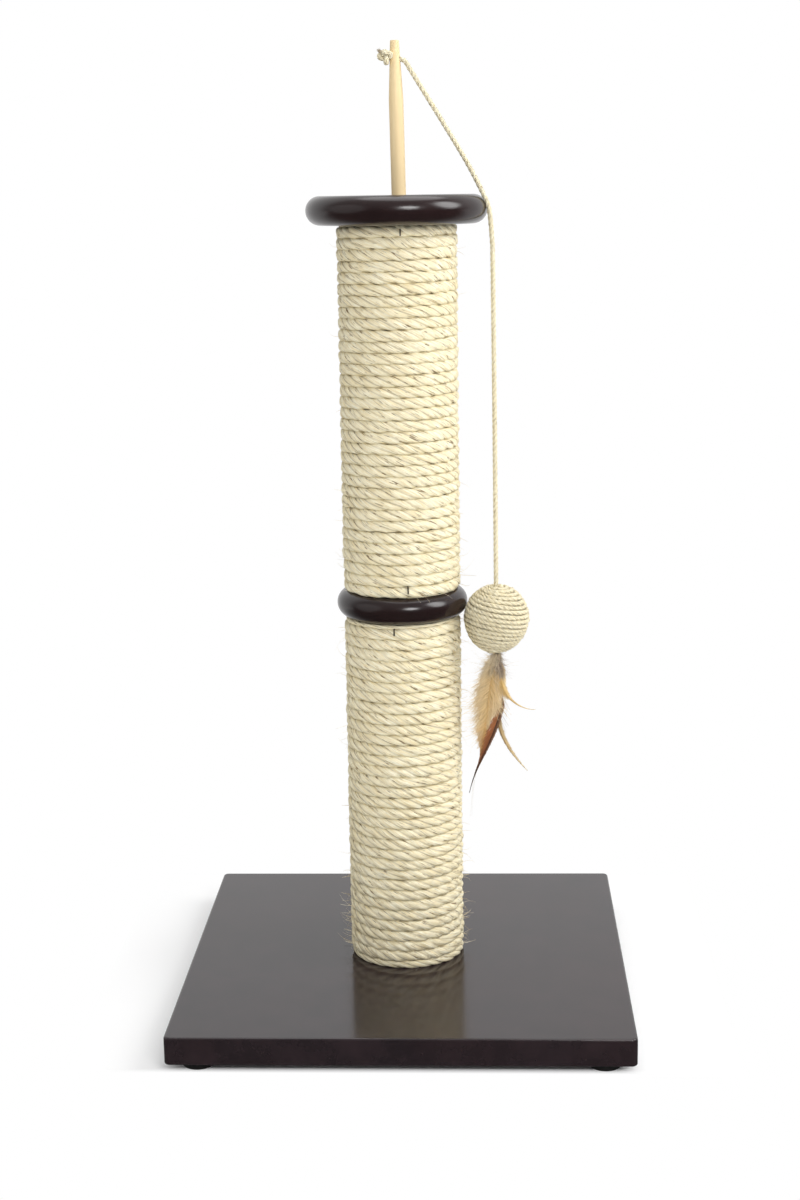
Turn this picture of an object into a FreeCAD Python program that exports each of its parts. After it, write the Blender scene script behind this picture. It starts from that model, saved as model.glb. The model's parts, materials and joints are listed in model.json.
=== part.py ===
"""Cat scratching post: a square base board, two rope-wound posts, a rim disc between them and one
on top, and a stick that carries a wound ball with feathers on a cord.

Origin: bottom centre of the base, on the floor.  +X right, -Y front, +Z up.  Millimetres.
"""
import FreeCAD, Part
import math
import os
import Sketcher

Vector = FreeCAD.Vector

# ---------------------------------------------------------------- driving dimensions

DIMENSIONS = (
    ("board_side", 400, "side of the square base board"),
    ("board_thickness", 25, "base board thickness"),
    ("board_corner_round", 5, "radius of the board's upright corners"),
    ("board_edge_round", 2, "radius of the board's top and bottom edges"),
    ("foot_diameter", 28, "rubber foot"),
    ("foot_height", 10, "rubber foot"),
    ("foot_inset", 26, "foot centre in from the board's edges"),
    ("screw_diameter", 3.5, "foot screw shank"),
    ("screw_reach", 14, "foot screw length in the board"),
    ("section_length", 321.5, "wound length of each post section"),
    ("tube_outer_diameter", 79.2, "cardboard core tube"),
    ("tube_wall", 4, "cardboard core tube"),
    ("plug_thickness", 20, "wooden end plug inside the tube"),
    ("plug_fit", 0.1, "radial gap between plug and tube"),
    ("insert_diameter", 12, "threaded insert"),
    ("insert_length", 15, "threaded insert"),
    ("thread_diameter", 8, "bolt and studs"),
    ("thread_fit", 0.1, "radial gap between bolt and insert"),
    ("clearance_hole_diameter", 8.6, "bolt hole through board and ring"),
    ("counterbore_diameter", 27, "recess for the bolt head under the board"),
    ("counterbore_depth", 9, "recess for the bolt head under the board"),
    ("washer_diameter", 24, "washer under the bolt head"),
    ("washer_thickness", 1.8, "washer under the bolt head"),
    ("bolt_head_height", 5.3, "hexagon head"),
    ("bolt_head_across_corners", 14.4, "hexagon head"),
    ("post_diameter", 105, "over the rope"),
    ("rope_turns", 23.34, "loops of rope on each section"),
    ("rope_gap", 0.55, "between two loops of rope"),
    ("rope_end_gap", 0.6, "between rope and board, ring or disc"),
    ("rope_start_azimuth", -150, "degrees from +X, where each winding begins"),
    ("ring_diameter", 117.6, "rim disc between the sections"),
    ("rim_thickness", 25, "middle ring and top disc"),
    ("rim_land", 0.2, "straight band left between the rounded rims"),
    ("disc_diameter", 158, "top disc"),
    ("disc_stud_depth", 11, "blind hole under the top disc"),
    ("stick_diameter", 12.5, "wooden stick"),
    ("stick_tip_diameter", 7.5, "wooden stick at its top"),
    ("stick_height", 129, "above the disc"),
    ("stick_taper_length", 49, "below the tip"),
    ("stick_socket_depth", 11, "blind hole in the top of the disc"),
    ("stick_fit", 0.05, "radial gap in the socket"),
    ("stick_offset", 2.4, "socket centre from the post's axis, towards the toy"),
    ("stick_lean", 0.8, "degrees, away from the toy"),
    ("stick_hole_drop", 15, "cross hole below the tip"),
    ("stick_hole_diameter", 4.2, "cross hole"),
    ("toy_azimuth", -10, "degrees from +X, where the cord crosses the rim"),
    ("cord_diameter", 3.5, "toy cord"),
    ("cord_exit_radius", 4, "bend of the cord out of the cross hole"),
    ("cord_exit_gap", 1.2, "from the stick to that bend's corner"),
    ("cord_rim_gap", 0.3, "between cord and rim"),
    ("cord_rim_tail", 32, "straight length below the rim that moves with the bend"),
    ("knot_diameter", 12.5, "knot behind the stick"),
    ("knot_length", 12, "knot behind the stick"),
    ("ball_diameter", 58, "over the winding"),
    ("ball_height", 356.5, "ball centre above the floor"),
    ("ball_ring_gap", 0.4, "between ball and ring at rest"),
    ("ball_turns", 21, "loops of twine on the ball"),
    ("ball_twine_diameter", 2.9, "twine on the ball"),
    ("ball_core_gap", 0.2, "between twine and core"),
    ("ball_wall", 2, "hollow core"),
    ("ball_hole_diameter", 5, "polar holes of the core"),
    ("ball_opening_radius", 7.4, "first loop's centre line round the polar hole"),
    ("ball_draw_in", 1.2, "the winding's last half turn at each pole closes in by this"),
    ("ball_cord_top", 27, "end of the hanging cord above the ball's centre"),
    ("end_knot_diameter", 7.6, "knot under the ball"),
    ("end_knot_length", 5.5, "knot under the ball"),
    ("binding_diameter", 13.4, "thread round the quills"),
    ("binding_bore", 10.2, "thread round the quills"),
    ("binding_length", 6, "thread round the quills"),
    ("feather_thickness", 0.9, "vane"),
    ("feather_layer", 1.4, "from one feather's middle to the next"),
    ("quill_width", 2.4, "feather at its root"),
    ("staple_wire", 1.1, "rope staple"),
    ("staple_crown", 6, "rope staple, along the post"),
    ("staple_leg", 8, "rope staple"),
)

document = FreeCAD.newDocument("scratching_post")
sheet = document.addObject("Spreadsheet::Sheet", "Sizes")
for row, (alias, amount, note) in enumerate(DIMENSIONS, start=1):
    sheet.set("A%d" % row, note)
    sheet.set("B%d" % row, str(amount))
    sheet.setAlias("B%d" % row, alias)
document.recompute()

# heights above the floor, as expressions on the sheet
BOARD_TOP = "(Sizes.foot_height + Sizes.board_thickness)"
RING_BOTTOM = "(%s + Sizes.section_length)" % BOARD_TOP
RING_TOP = "(%s + Sizes.rim_thickness)" % RING_BOTTOM
DISC_BOTTOM = "(%s + Sizes.section_length)" % RING_TOP
DISC_TOP = "(%s + Sizes.rim_thickness)" % DISC_BOTTOM
TUBE_BORE = "(Sizes.tube_outer_diameter / 2 - Sizes.tube_wall)"
INSERT_BORE = "(Sizes.thread_diameter / 2 + Sizes.thread_fit)"

pieces = []


def value(expression):
    """The number that an expression on the sheet gives now."""
    return float(sheet.evalExpression(expression))


def size(alias):
    """One driving dimension."""
    return value("Sizes." + alias)


# ---------------------------------------------------------------- shared ways of making a piece


def keep(piece, label):
    """Names a finished sub-part and lists it for export."""
    piece.Label = label
    pieces.append(piece)
    return piece


def raised(piece, height):
    """Binds a piece's height above the floor."""
    piece.setExpression("Placement.Base.z", height)
    return piece


def attached_sketch(body, name, role):
    """An empty sketch on one of the body's own origin planes."""
    plane = next(p for p in body.Origin.OriginFeatures if p.Role == role)
    sketch = body.newObject("Sketcher::SketchObject", name)
    sketch.AttachmentSupport = [(plane, "")]
    sketch.MapMode = "FlatFace"
    return sketch


def hold_corner(sketch, line, direction, expression):
    """Binds one coordinate of a line's start, or keeps it on the axis where it is zero."""
    if expression == "0":
        axis = -2 if direction == "DistanceX" else -1
        sketch.addConstraint(Sketcher.Constraint("PointOnObject", line, 1, axis))
        return
    distance = Sketcher.Constraint(direction, -1, 1, line, 1, value(expression))
    constraint = sketch.addConstraint(distance)
    sketch.setExpression("Constraints[%d]" % constraint, expression)


def turned(label, corners):
    """A body of revolution about Z.  corners are (radius, height) expressions round the profile."""
    body = document.addObject("PartDesign::Body", label)
    sketch = attached_sketch(body, label + "_profile", "XZ_Plane")
    places = []
    for radius, height in corners:
        along = 0 if radius == "0" else value(radius)
        rise = 0 if height == "0" else value(height)
        places.append(Vector(along, rise, 0))
    count = len(places)
    for i in range(count):
        sketch.addGeometry(Part.LineSegment(places[i], places[(i + 1) % count]), False)
    for i in range(count):
        joined = Sketcher.Constraint("Coincident", i, 2, (i + 1) % count, 1)
        sketch.addConstraint(joined)
    for i, (radius, height) in enumerate(corners):
        hold_corner(sketch, i, "DistanceX", radius)
        hold_corner(sketch, i, "DistanceY", height)
    turn = body.newObject("PartDesign::Revolution", label + "_turn")
    turn.Profile = sketch
    turn.ReferenceAxis = (sketch, ["V_Axis"])
    turn.Angle = 360
    document.recompute()
    return keep(body, label)


def bushing(label, bore, outer, length):
    """A plain turned sleeve."""
    return turned(label, ((bore, "0"), (outer, "0"), (outer, length), (bore, length)))


def round_edges(body, chosen, radius):
    """Fillets the edges of the body's tip for which chosen(edge) is true."""
    base = body.Tip
    names = []
    for number, edge in enumerate(base.Shape.Edges, start=1):
        if chosen(edge):
            names.append("Edge%d" % number)
    fillet = body.newObject("PartDesign::Fillet", body.Label + "_round_%d" % len(body.Group))
    fillet.Base = (base, names)
    fillet.setExpression("Radius", radius)
    document.recompute()
    return fillet


def is_circle_of(radius):
    """A test for the full circular edges of one radius."""

    def test(edge):
        curve = edge.Curve
        return isinstance(curve, Part.Circle) and abs(curve.Radius - radius) < 1e-4

    return test


def round_pocket(body, name, diameter, depth, centre=None):
    """A round pocket upwards from the underside of a body whose base lies on its XY plane."""
    before = body.Shape.Volume
    sketch = attached_sketch(body, name + "_circle", "XY_Plane")
    place = Vector(value(centre), value(centre), 0) if centre else Vector(0, 0, 0)
    circle = Part.Circle(place, Vector(0, 0, 1), value(diameter) / 2)
    sketch.addGeometry(circle, False)
    across = sketch.addConstraint(Sketcher.Constraint("Diameter", 0, value(diameter)))
    sketch.setExpression("Constraints[%d]" % across, diameter)
    if centre:
        for direction in ("DistanceX", "DistanceY"):
            distance = Sketcher.Constraint(direction, -1, 1, 0, 3, value(centre))
            constraint = sketch.addConstraint(distance)
            sketch.setExpression("Constraints[%d]" % constraint, centre)
    else:
        sketch.addConstraint(Sketcher.Constraint("Coincident", 0, 3, -1, 1))
    pocket = body.newObject("PartDesign::Pocket", name)
    pocket.Profile = sketch
    pocket.setExpression("Length", depth)
    pocket.Reversed = True
    document.recompute()
    if body.Shape.Volume > before - 1:
        raise RuntimeError(name + " cuts nothing")
    return pocket


def cylinder(name, diameter, length, height="0"):
    """A Part cylinder on the Z axis, bound to the sheet."""
    piece = document.addObject("Part::Cylinder", name)
    piece.setExpression("Radius", diameter + " / 2")
    piece.setExpression("Height", length)
    if height != "0":
        raised(piece, height)
    return piece


# ---------------------------------------------------------------- base


def base_board():
    """Square board with rounded corners, a counterbored bolt hole and four pilot holes."""
    body = document.addObject("PartDesign::Body", "base_board")
    body.Label = "base_board"
    side = size("board_side")
    sketch = attached_sketch(body, "board_outline", "XY_Plane")
    half = side / 2
    corners = [Vector(x * half, y * half, 0) for x, y in ((-1, -1), (1, -1), (1, 1), (-1, 1))]
    for i in range(4):
        sketch.addGeometry(Part.LineSegment(corners[i], corners[(i + 1) % 4]), False)
        sketch.addConstraint(Sketcher.Constraint("Horizontal" if i % 2 == 0 else "Vertical", i))
    for i in range(4):
        sketch.addConstraint(Sketcher.Constraint("Coincident", i, 2, (i + 1) % 4, 1))
    sketch.addConstraint(Sketcher.Constraint("Symmetric", 0, 1, 2, 1, -1, 1))
    for line, direction in ((0, "DistanceX"), (1, "DistanceY")):
        length = Sketcher.Constraint(direction, line, 1, line, 2, side)
        constraint = sketch.addConstraint(length)
        sketch.setExpression("Constraints[%d]" % constraint, "Sizes.board_side")
    slab = body.newObject("PartDesign::Pad", "board_slab")
    slab.Profile = sketch
    slab.setExpression("Length", "Sizes.board_thickness")
    document.recompute()

    thickness = size("board_thickness")
    round_edges(body, lambda e: abs(e.BoundBox.ZLength - thickness) < 1e-4, "Sizes.board_corner_round")
    round_edges(body, lambda e: e.BoundBox.ZLength < 1e-4, "Sizes.board_edge_round")

    round_pocket(body, "bolt_hole", "Sizes.clearance_hole_diameter", "Sizes.board_thickness")
    round_pocket(body, "bolt_recess", "Sizes.counterbore_diameter", "Sizes.counterbore_depth")
    foot_place = "(Sizes.board_side / 2 - Sizes.foot_inset)"
    pilot = round_pocket(body, "pilot_hole", "(Sizes.screw_diameter + 0.1)",
                         "(Sizes.screw_reach + 1)", foot_place)
    pattern = body.newObject("PartDesign::PolarPattern", "pilot_holes")
    pattern.Originals = [pilot]
    pattern.Axis = (next(a for a in body.Origin.OriginFeatures if a.Role == "Z_Axis"), [""])
    pattern.Angle = 360
    pattern.Occurrences = 4
    body.Tip = pattern
    raised(body, "Sizes.foot_height")
    keep(body, "base_board")


FOOT_CORNERS = (
    ("front_left", -1, -1),
    ("front_right", 1, -1),
    ("back_left", -1, 1),
    ("back_right", 1, 1),
)


def at_foot(piece, x_side, y_side):
    """Binds a piece to one foot's place under the board."""
    inset = "(Sizes.board_side / 2 - Sizes.foot_inset)"
    piece.setExpression("Placement.Base.x", "%s * (%d)" % (inset, x_side))
    piece.setExpression("Placement.Base.y", "%s * (%d)" % (inset, y_side))


def feet():
    """Four rubber feet, each with a recess for its screw's head."""
    bore = "(Sizes.screw_diameter / 2 + 0.3)"
    recess = "(Sizes.screw_diameter + 1)"
    floor = "(Sizes.foot_height / 2)"
    rim = "(Sizes.foot_diameter / 2)"
    for corner, x_side, y_side in FOOT_CORNERS:
        body = turned("foot_" + corner, (
            (recess, "0"), (rim, "0"), (rim, "Sizes.foot_height"),
            (bore, "Sizes.foot_height"), (bore, floor), (recess, floor),
        ))
        round_edges(body, lambda e: is_circle_of(size("foot_diameter") / 2)(e)
                    and e.BoundBox.ZMax < 1, "Sizes.board_edge_round * 0.75")
        at_foot(body, x_side, y_side)


def foot_screws():
    """One screw up through each foot, as a group."""
    screws = []
    for corner, x_side, y_side in FOOT_CORNERS:
        head = cylinder("head_" + corner, "(Sizes.screw_diameter * 2)", "Sizes.screw_diameter / 2",
                        "Sizes.foot_height / 2 - Sizes.screw_diameter / 2")
        shank = cylinder("shank_" + corner, "Sizes.screw_diameter",
                         "Sizes.foot_height / 2 + Sizes.screw_reach", "Sizes.foot_height / 2")
        screw = document.addObject("Part::Fuse", "screw_" + corner)
        screw.Base = head
        screw.Tool = shank
        at_foot(screw, x_side, y_side)
        screws.append(screw)
    group = document.addObject("Part::Compound", "foot_screws")
    group.Links = screws
    keep(group, "foot_screws")


def base_fastening():
    """Hexagon bolt and washer in the recess under the board."""
    recess_top = "(Sizes.foot_height + Sizes.counterbore_depth)"
    washer = bushing("base_washer", "(Sizes.thread_diameter / 2 + 0.3)",
                     "(Sizes.washer_diameter / 2)", "Sizes.washer_thickness")
    raised(washer, recess_top + " - Sizes.washer_thickness")

    head = document.addObject("Part::Prism", "bolt_head")
    head.Polygon = 6
    head.setExpression("Circumradius", "Sizes.bolt_head_across_corners / 2")
    head.setExpression("Height", "Sizes.bolt_head_height")
    under_head = "(%s - Sizes.washer_thickness)" % recess_top
    raised(head, under_head + " - Sizes.bolt_head_height")
    reach = "(%s + Sizes.insert_length - 1)" % BOARD_TOP
    shank = cylinder("bolt_shank", "Sizes.thread_diameter", reach + " - " + under_head, under_head)
    bolt = document.addObject("Part::Fuse", "base_bolt")
    bolt.Base = head
    bolt.Tool = shank
    keep(bolt, "base_bolt")


# ---------------------------------------------------------------- post sections


def end_plug(section, end, plug_bottom, insert_bottom):
    """Wooden plug inside one tube end and the threaded insert in it."""
    plug = bushing("%s_plug_%s" % (section, end), "(Sizes.insert_diameter / 2 + 0.05)",
                   "(%s - Sizes.plug_fit)" % TUBE_BORE, "Sizes.plug_thickness")
    raised(plug, plug_bottom)
    insert = bushing("%s_insert_%s" % (section, end), INSERT_BORE,
                     "(Sizes.insert_diameter / 2)", "Sizes.insert_length")
    raised(insert, insert_bottom)


def post_section(section, bottom):
    """Core tube with a plug and an insert at each end."""
    tube = bushing(section + "_post_tube", TUBE_BORE, "(Sizes.tube_outer_diameter / 2)",
                   "Sizes.section_length")
    raised(tube, bottom)
    top = "(%s + Sizes.section_length)" % bottom
    end_plug(section, "bottom", bottom, bottom)
    end_plug(section, "top", top + " - Sizes.plug_thickness", top + " - Sizes.insert_length")


def bullnose(body, diameter):
    """Rounds the rim of a turned disc all the way, but for a narrow straight land."""
    round_edges(body, is_circle_of(size(diameter) / 2),
                "Sizes.rim_thickness / 2 - Sizes.rim_land / 2")


def middle_ring():
    """Rounded disc clamped between the two sections, and the stud through it."""
    ring = bushing("middle_ring", "(Sizes.clearance_hole_diameter / 2)",
                   "(Sizes.ring_diameter / 2)", "Sizes.rim_thickness")
    bullnose(ring, "ring_diameter")
    raised(ring, RING_BOTTOM)
    grip = "(Sizes.insert_length - 1)"
    stud = cylinder("joining_stud", "Sizes.thread_diameter",
                    "Sizes.rim_thickness + 2 * " + grip, RING_BOTTOM + " - " + grip)
    keep(stud, "joining_stud")


def stick_placement(along):
    """Place on the stick's leaning axis, a distance above the disc's top face."""
    azimuth = size("toy_azimuth")
    lean = FreeCAD.Rotation(Vector(0, 1, 0), -size("stick_lean"))
    turn = FreeCAD.Rotation(Vector(0, 0, 1), azimuth)
    rotation = turn * lean
    foot = turn.multVec(Vector(size("stick_offset"), 0, 0)) + Vector(0, 0, value(DISC_TOP))
    return FreeCAD.Placement(foot + rotation.multVec(Vector(0, 0, along)), rotation)


def top_disc():
    """Rounded top disc with a blind hole below for its stud and a leaning socket above."""
    bore = "(Sizes.thread_diameter / 2 + 0.05)"
    rim = "(Sizes.disc_diameter / 2)"
    disc = turned("top_disc", (
        (bore, "0"), (rim, "0"), (rim, "Sizes.rim_thickness"),
        ("0", "Sizes.rim_thickness"), ("0", "Sizes.disc_stud_depth"), (bore, "Sizes.disc_stud_depth"),
    ))
    bullnose(disc, "disc_diameter")

    before = disc.Shape.Volume
    sketch = attached_sketch(disc, "socket_circle", "XY_Plane")
    above = 1.0
    place = stick_placement(above)
    place.Base = place.Base - Vector(0, 0, value(DISC_BOTTOM))
    sketch.AttachmentOffset = place
    radius = "(Sizes.stick_diameter / 2 + Sizes.stick_fit)"
    sketch.addGeometry(Part.Circle(Vector(0, 0, 0), Vector(0, 0, 1), value(radius)), False)
    sketch.addConstraint(Sketcher.Constraint("Coincident", 0, 3, -1, 1))
    constraint = sketch.addConstraint(Sketcher.Constraint("Radius", 0, value(radius)))
    sketch.setExpression("Constraints[%d]" % constraint, radius)
    socket = disc.newObject("PartDesign::Pocket", "stick_socket")
    socket.Profile = sketch
    socket.setExpression("Length", "Sizes.stick_socket_depth + %g" % above)
    document.recompute()
    if disc.Shape.Volume > before - 100:
        raise RuntimeError("the stick's socket cuts nothing")
    raised(disc, DISC_BOTTOM)

    grip = "(Sizes.insert_length - 1)"
    stud = cylinder("disc_stud", "Sizes.thread_diameter",
                    grip + " + Sizes.disc_stud_depth - 0.5", DISC_BOTTOM + " - " + grip)
    keep(stud, "disc_stud")


def toy_stick():
    """Wooden stick with a tapered top and a cross hole for the cord."""
    wide = "(Sizes.stick_diameter / 2)"
    narrow = "(Sizes.stick_tip_diameter / 2)"
    length = "(Sizes.stick_socket_depth + Sizes.stick_height)"
    stick = turned("toy_stick", (
        ("0", "0"), (wide, "0"), (wide, length + " - Sizes.stick_taper_length"),
        (narrow, length), ("0", length),
    ))
    round_edges(stick, is_circle_of(size("stick_tip_diameter") / 2), "Sizes.rim_land * 2")
    before = stick.Shape.Volume
    sketch = attached_sketch(stick, "cord_hole_circle", "YZ_Plane")
    radius = size("stick_hole_diameter") / 2
    drop = length + " - Sizes.stick_hole_drop"
    centre = Vector(0, value(drop), 0)
    sketch.addGeometry(Part.Circle(centre, Vector(0, 0, 1), radius), False)
    sketch.addConstraint(Sketcher.Constraint("PointOnObject", 0, 3, -2))
    across = sketch.addConstraint(Sketcher.Constraint("Radius", 0, radius))
    sketch.setExpression("Constraints[%d]" % across, "Sizes.stick_hole_diameter / 2")
    rise = sketch.addConstraint(Sketcher.Constraint("DistanceY", -1, 1, 0, 3, value(drop)))
    sketch.setExpression("Constraints[%d]" % rise, drop)
    hole = stick.newObject("PartDesign::Pocket", "cord_hole")
    hole.Profile = sketch
    hole.Type = "ThroughAll"
    hole.Midplane = True
    document.recompute()
    if stick.Shape.Volume > before - 10:
        raise RuntimeError("the cord's hole cuts nothing")
    stick.Placement = stick_placement(-size("stick_socket_depth"))


# ---------------------------------------------------------------- windings


def biarc(start, start_way, end, end_way):
    """Two arcs that leave start along start_way and reach end along end_way."""
    chord = end - start
    both = start_way + end_way
    spread = 2 * (1 - start_way.dot(end_way))
    across = chord.dot(both)
    reach = (-across + math.sqrt(across ** 2 + spread * chord.dot(chord))) / spread
    first_corner = start + start_way * reach
    second_corner = end - end_way * reach
    middle = (first_corner + second_corner) * 0.5
    return [arc_by_corner(start, first_corner, middle), arc_by_corner(middle, second_corner, end)]


def arc_by_corner(start, corner, end):
    """The arc that touches the lines start-corner and corner-end, which are equally long."""
    half_chord = (end - start).Length / 2
    flatness = half_chord / (corner - start).Length
    chord_middle = (start + end) * 0.5
    crown = chord_middle + (corner - chord_middle) * (flatness / (1 + flatness))
    return Part.Arc(start, crown, end)


def spiral_path(place, first, last, steps_per_turn, end_run):
    """Edges of a spiral place(angle), as biarcs, with a straight end_run on at both ends."""
    steps = round((last - first) / (2 * math.pi) * steps_per_turn)
    stride = (last - first) / steps
    small = 1e-4
    knots = []
    for i in range(steps + 1):
        angle = first + i * stride
        way = (place(angle + small) - place(angle - small)).normalize()
        knots.append((place(angle), way))
    curves = [Part.LineSegment(knots[0][0] - knots[0][1] * end_run, knots[0][0])]
    for (start, start_way), (end, end_way) in zip(knots, knots[1:]):
        curves += biarc(start, start_way, end, end_way)
    curves.append(Part.LineSegment(knots[-1][0], knots[-1][0] + knots[-1][1] * end_run))
    return curves


def least_gap(curves, diameter):
    """Least distance between two loops of the tube, measured on points of its centre line."""
    points = []
    for curve in curves:
        points += curve.toShape().discretize(Number=7)[:-1]
    loop = 2 * math.pi
    turned_by = [0.0]
    for before, after in zip(points, points[1:]):
        step = math.atan2(after.y, after.x) - math.atan2(before.y, before.x)
        turned_by.append(turned_by[-1] + (step + math.pi) % loop - math.pi)
    least = 1e9
    for i, point in enumerate(points):
        for j in range(i + 1, len(points)):
            turn = turned_by[j] - turned_by[i]
            if turn > 1.5 * loop:
                break
            if turn > 0.5 * loop:
                least = min(least, point.distanceToPoint(points[j]))
    return least - diameter


def tube_along(label, curves, diameter):
    """One unbroken round tube along a path, with its volume compared with section times length."""
    wire = Part.Wire([curve.toShape() for curve in curves])
    start = curves[0].StartPoint
    way = (curves[0].EndPoint - start).normalize()
    profile = Part.Wire([Part.Circle(start, way, diameter / 2).toShape()])
    shape = wire.makePipeShell([profile], True, False)
    plain = math.pi * diameter ** 2 / 4 * wire.Length
    print("%s: length %.1f, volume / (section x length) %.4f"
          % (label, wire.Length, shape.Volume / plain))
    piece = document.addObject("Part::Feature", label)
    piece.Shape = shape
    return keep(piece, label)


def sisal_rope(section, bottom):
    """Right-handed winding of rope on one core tube, touching neither board, ring nor disc."""
    turns = size("rope_turns")
    gap = size("rope_gap")
    end_gap = size("rope_end_gap")
    length = size("section_length")
    pitch = (length + gap - 2 * end_gap) / (turns + 1)
    diameter = pitch - gap
    radius = (size("post_diameter") - diameter) / 2
    start = math.radians(size("rope_start_azimuth"))

    def place(angle):
        rise = end_gap + diameter / 2 + pitch * (angle - start) / (2 * math.pi)
        return Vector(radius * math.cos(angle), radius * math.sin(angle), rise)

    curves = spiral_path(place, start, start + 2 * math.pi * turns, 2, diameter)
    print("%s rope: %.2f loops of %.2f, least gap to itself %.2f"
          % (section, turns, diameter, least_gap(curves, diameter)))
    rope = tube_along(section + "_sisal_rope", curves, diameter)
    raised(rope, bottom)


# staple: section it holds, degrees round the post, height above the floor
STAPLES = (
    ("upper", -85.0, 697.0),
    ("upper", -82.6, 388.5),
    ("lower", -96.6, 351.0),
    ("lower", 84.0, 41.5),
)


def rope_staples():
    """Wire staples that pin the rope's ends, as a group: an upright crown and two legs each."""
    staples = []
    wire = "Sizes.staple_wire"
    for number, (section, azimuth, height) in enumerate(STAPLES, start=1):
        crown = document.addObject("Part::Box", "crown_%d" % number)
        crown.setExpression("Length", wire)
        crown.setExpression("Width", wire)
        crown.setExpression("Height", "Sizes.staple_crown")
        parts = [crown]
        for end in ("0", "Sizes.staple_crown - " + wire):
            leg = document.addObject("Part::Box", "leg_%d_%d" % (number, len(parts)))
            leg.setExpression("Length", "Sizes.staple_leg")
            leg.setExpression("Width", wire)
            leg.setExpression("Height", wire)
            leg.setExpression("Placement.Base.x", "-Sizes.staple_leg + " + wire)
            if end != "0":
                leg.setExpression("Placement.Base.z", end)
            parts.append(leg)
        staple = document.addObject("Part::MultiFuse", "staple_%d" % number)
        staple.Shapes = parts
        turn = FreeCAD.Rotation(Vector(0, 0, 1), azimuth)
        reach = turn.multVec(Vector(size("post_diameter") / 2, 0, 0))
        drop = Vector(0, 0, height - size("staple_crown") / 2)
        staple.Placement = FreeCAD.Placement(reach + drop, turn)
        staples.append(staple)
    group = document.addObject("Part::Compound", "rope_staples")
    group.Links = staples
    keep(group, "rope_staples")


# ---------------------------------------------------------------- the toy's cord


def toy_point(outward, height):
    """A point of the upright plane that holds the cord, outward from the post's axis."""
    azimuth = math.radians(size("toy_azimuth"))
    return Vector(outward * math.cos(azimuth), outward * math.sin(azimuth), height)


def touch_point(point, centre, radius, side):
    """Where a line from point touches a circle; all are (outward, height) pairs."""
    along = point[0] - centre[0]
    rise = point[1] - centre[1]
    bearing = math.atan2(rise, along) + side * math.acos(radius / math.hypot(along, rise))
    return centre[0] + radius * math.cos(bearing), centre[1] + radius * math.sin(bearing)


def cord_layout():
    """The cord's corners in the toy's plane, as (outward, height) pairs, and its angles."""
    half_rim = size("rim_thickness") / 2
    rim = (size("disc_diameter") / 2 - half_rim, value(DISC_BOTTOM) + half_rim)
    wrap = half_rim + size("cord_rim_gap") + size("cord_diameter") / 2

    hole_along = size("stick_height") - size("stick_hole_drop")
    hole = stick_placement(hole_along).Base
    hole_out = hole.dot(toy_point(1, 0))
    taper = size("stick_hole_drop") / size("stick_taper_length")
    tip = size("stick_tip_diameter") / 2
    stick_radius = tip + taper * (size("stick_diameter") / 2 - tip)
    corner = (hole_out + stick_radius + size("cord_exit_gap"), hole.z)
    knot_face = (hole_out - stick_radius - size("cord_rim_gap"), hole.z)

    ring_rim = (size("ring_diameter") / 2 - half_rim, value(RING_BOTTOM) + half_rim)
    ball_reach = half_rim + size("ball_diameter") / 2 + size("ball_ring_gap")
    ball_rise = size("ball_height") - ring_rim[1]
    ball = (ring_rim[0] + math.sqrt(ball_reach ** 2 - ball_rise ** 2), size("ball_height"))

    over = touch_point(corner, rim, wrap, -1)
    under = touch_point(ball, rim, wrap, 1)
    hang = math.atan2(ball[0] - under[0], under[1] - ball[1])
    return {
        "rim": rim, "wrap": wrap, "corner": corner, "knot_face": knot_face,
        "over": over, "under": under, "ball": ball, "hang": hang,
    }


def toy_placement(drop=0):
    """Place of the toy: origin a distance below the ball's centre, +Z up along the hanging cord."""
    layout = cord_layout()
    turn = FreeCAD.Rotation(Vector(0, 0, 1), size("toy_azimuth"))
    tilt = FreeCAD.Rotation(Vector(0, 1, 0), -math.degrees(layout["hang"]))
    rotation = turn * tilt
    centre = toy_point(*layout["ball"])
    return FreeCAD.Placement(centre - rotation.multVec(Vector(0, 0, drop)), rotation)


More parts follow.
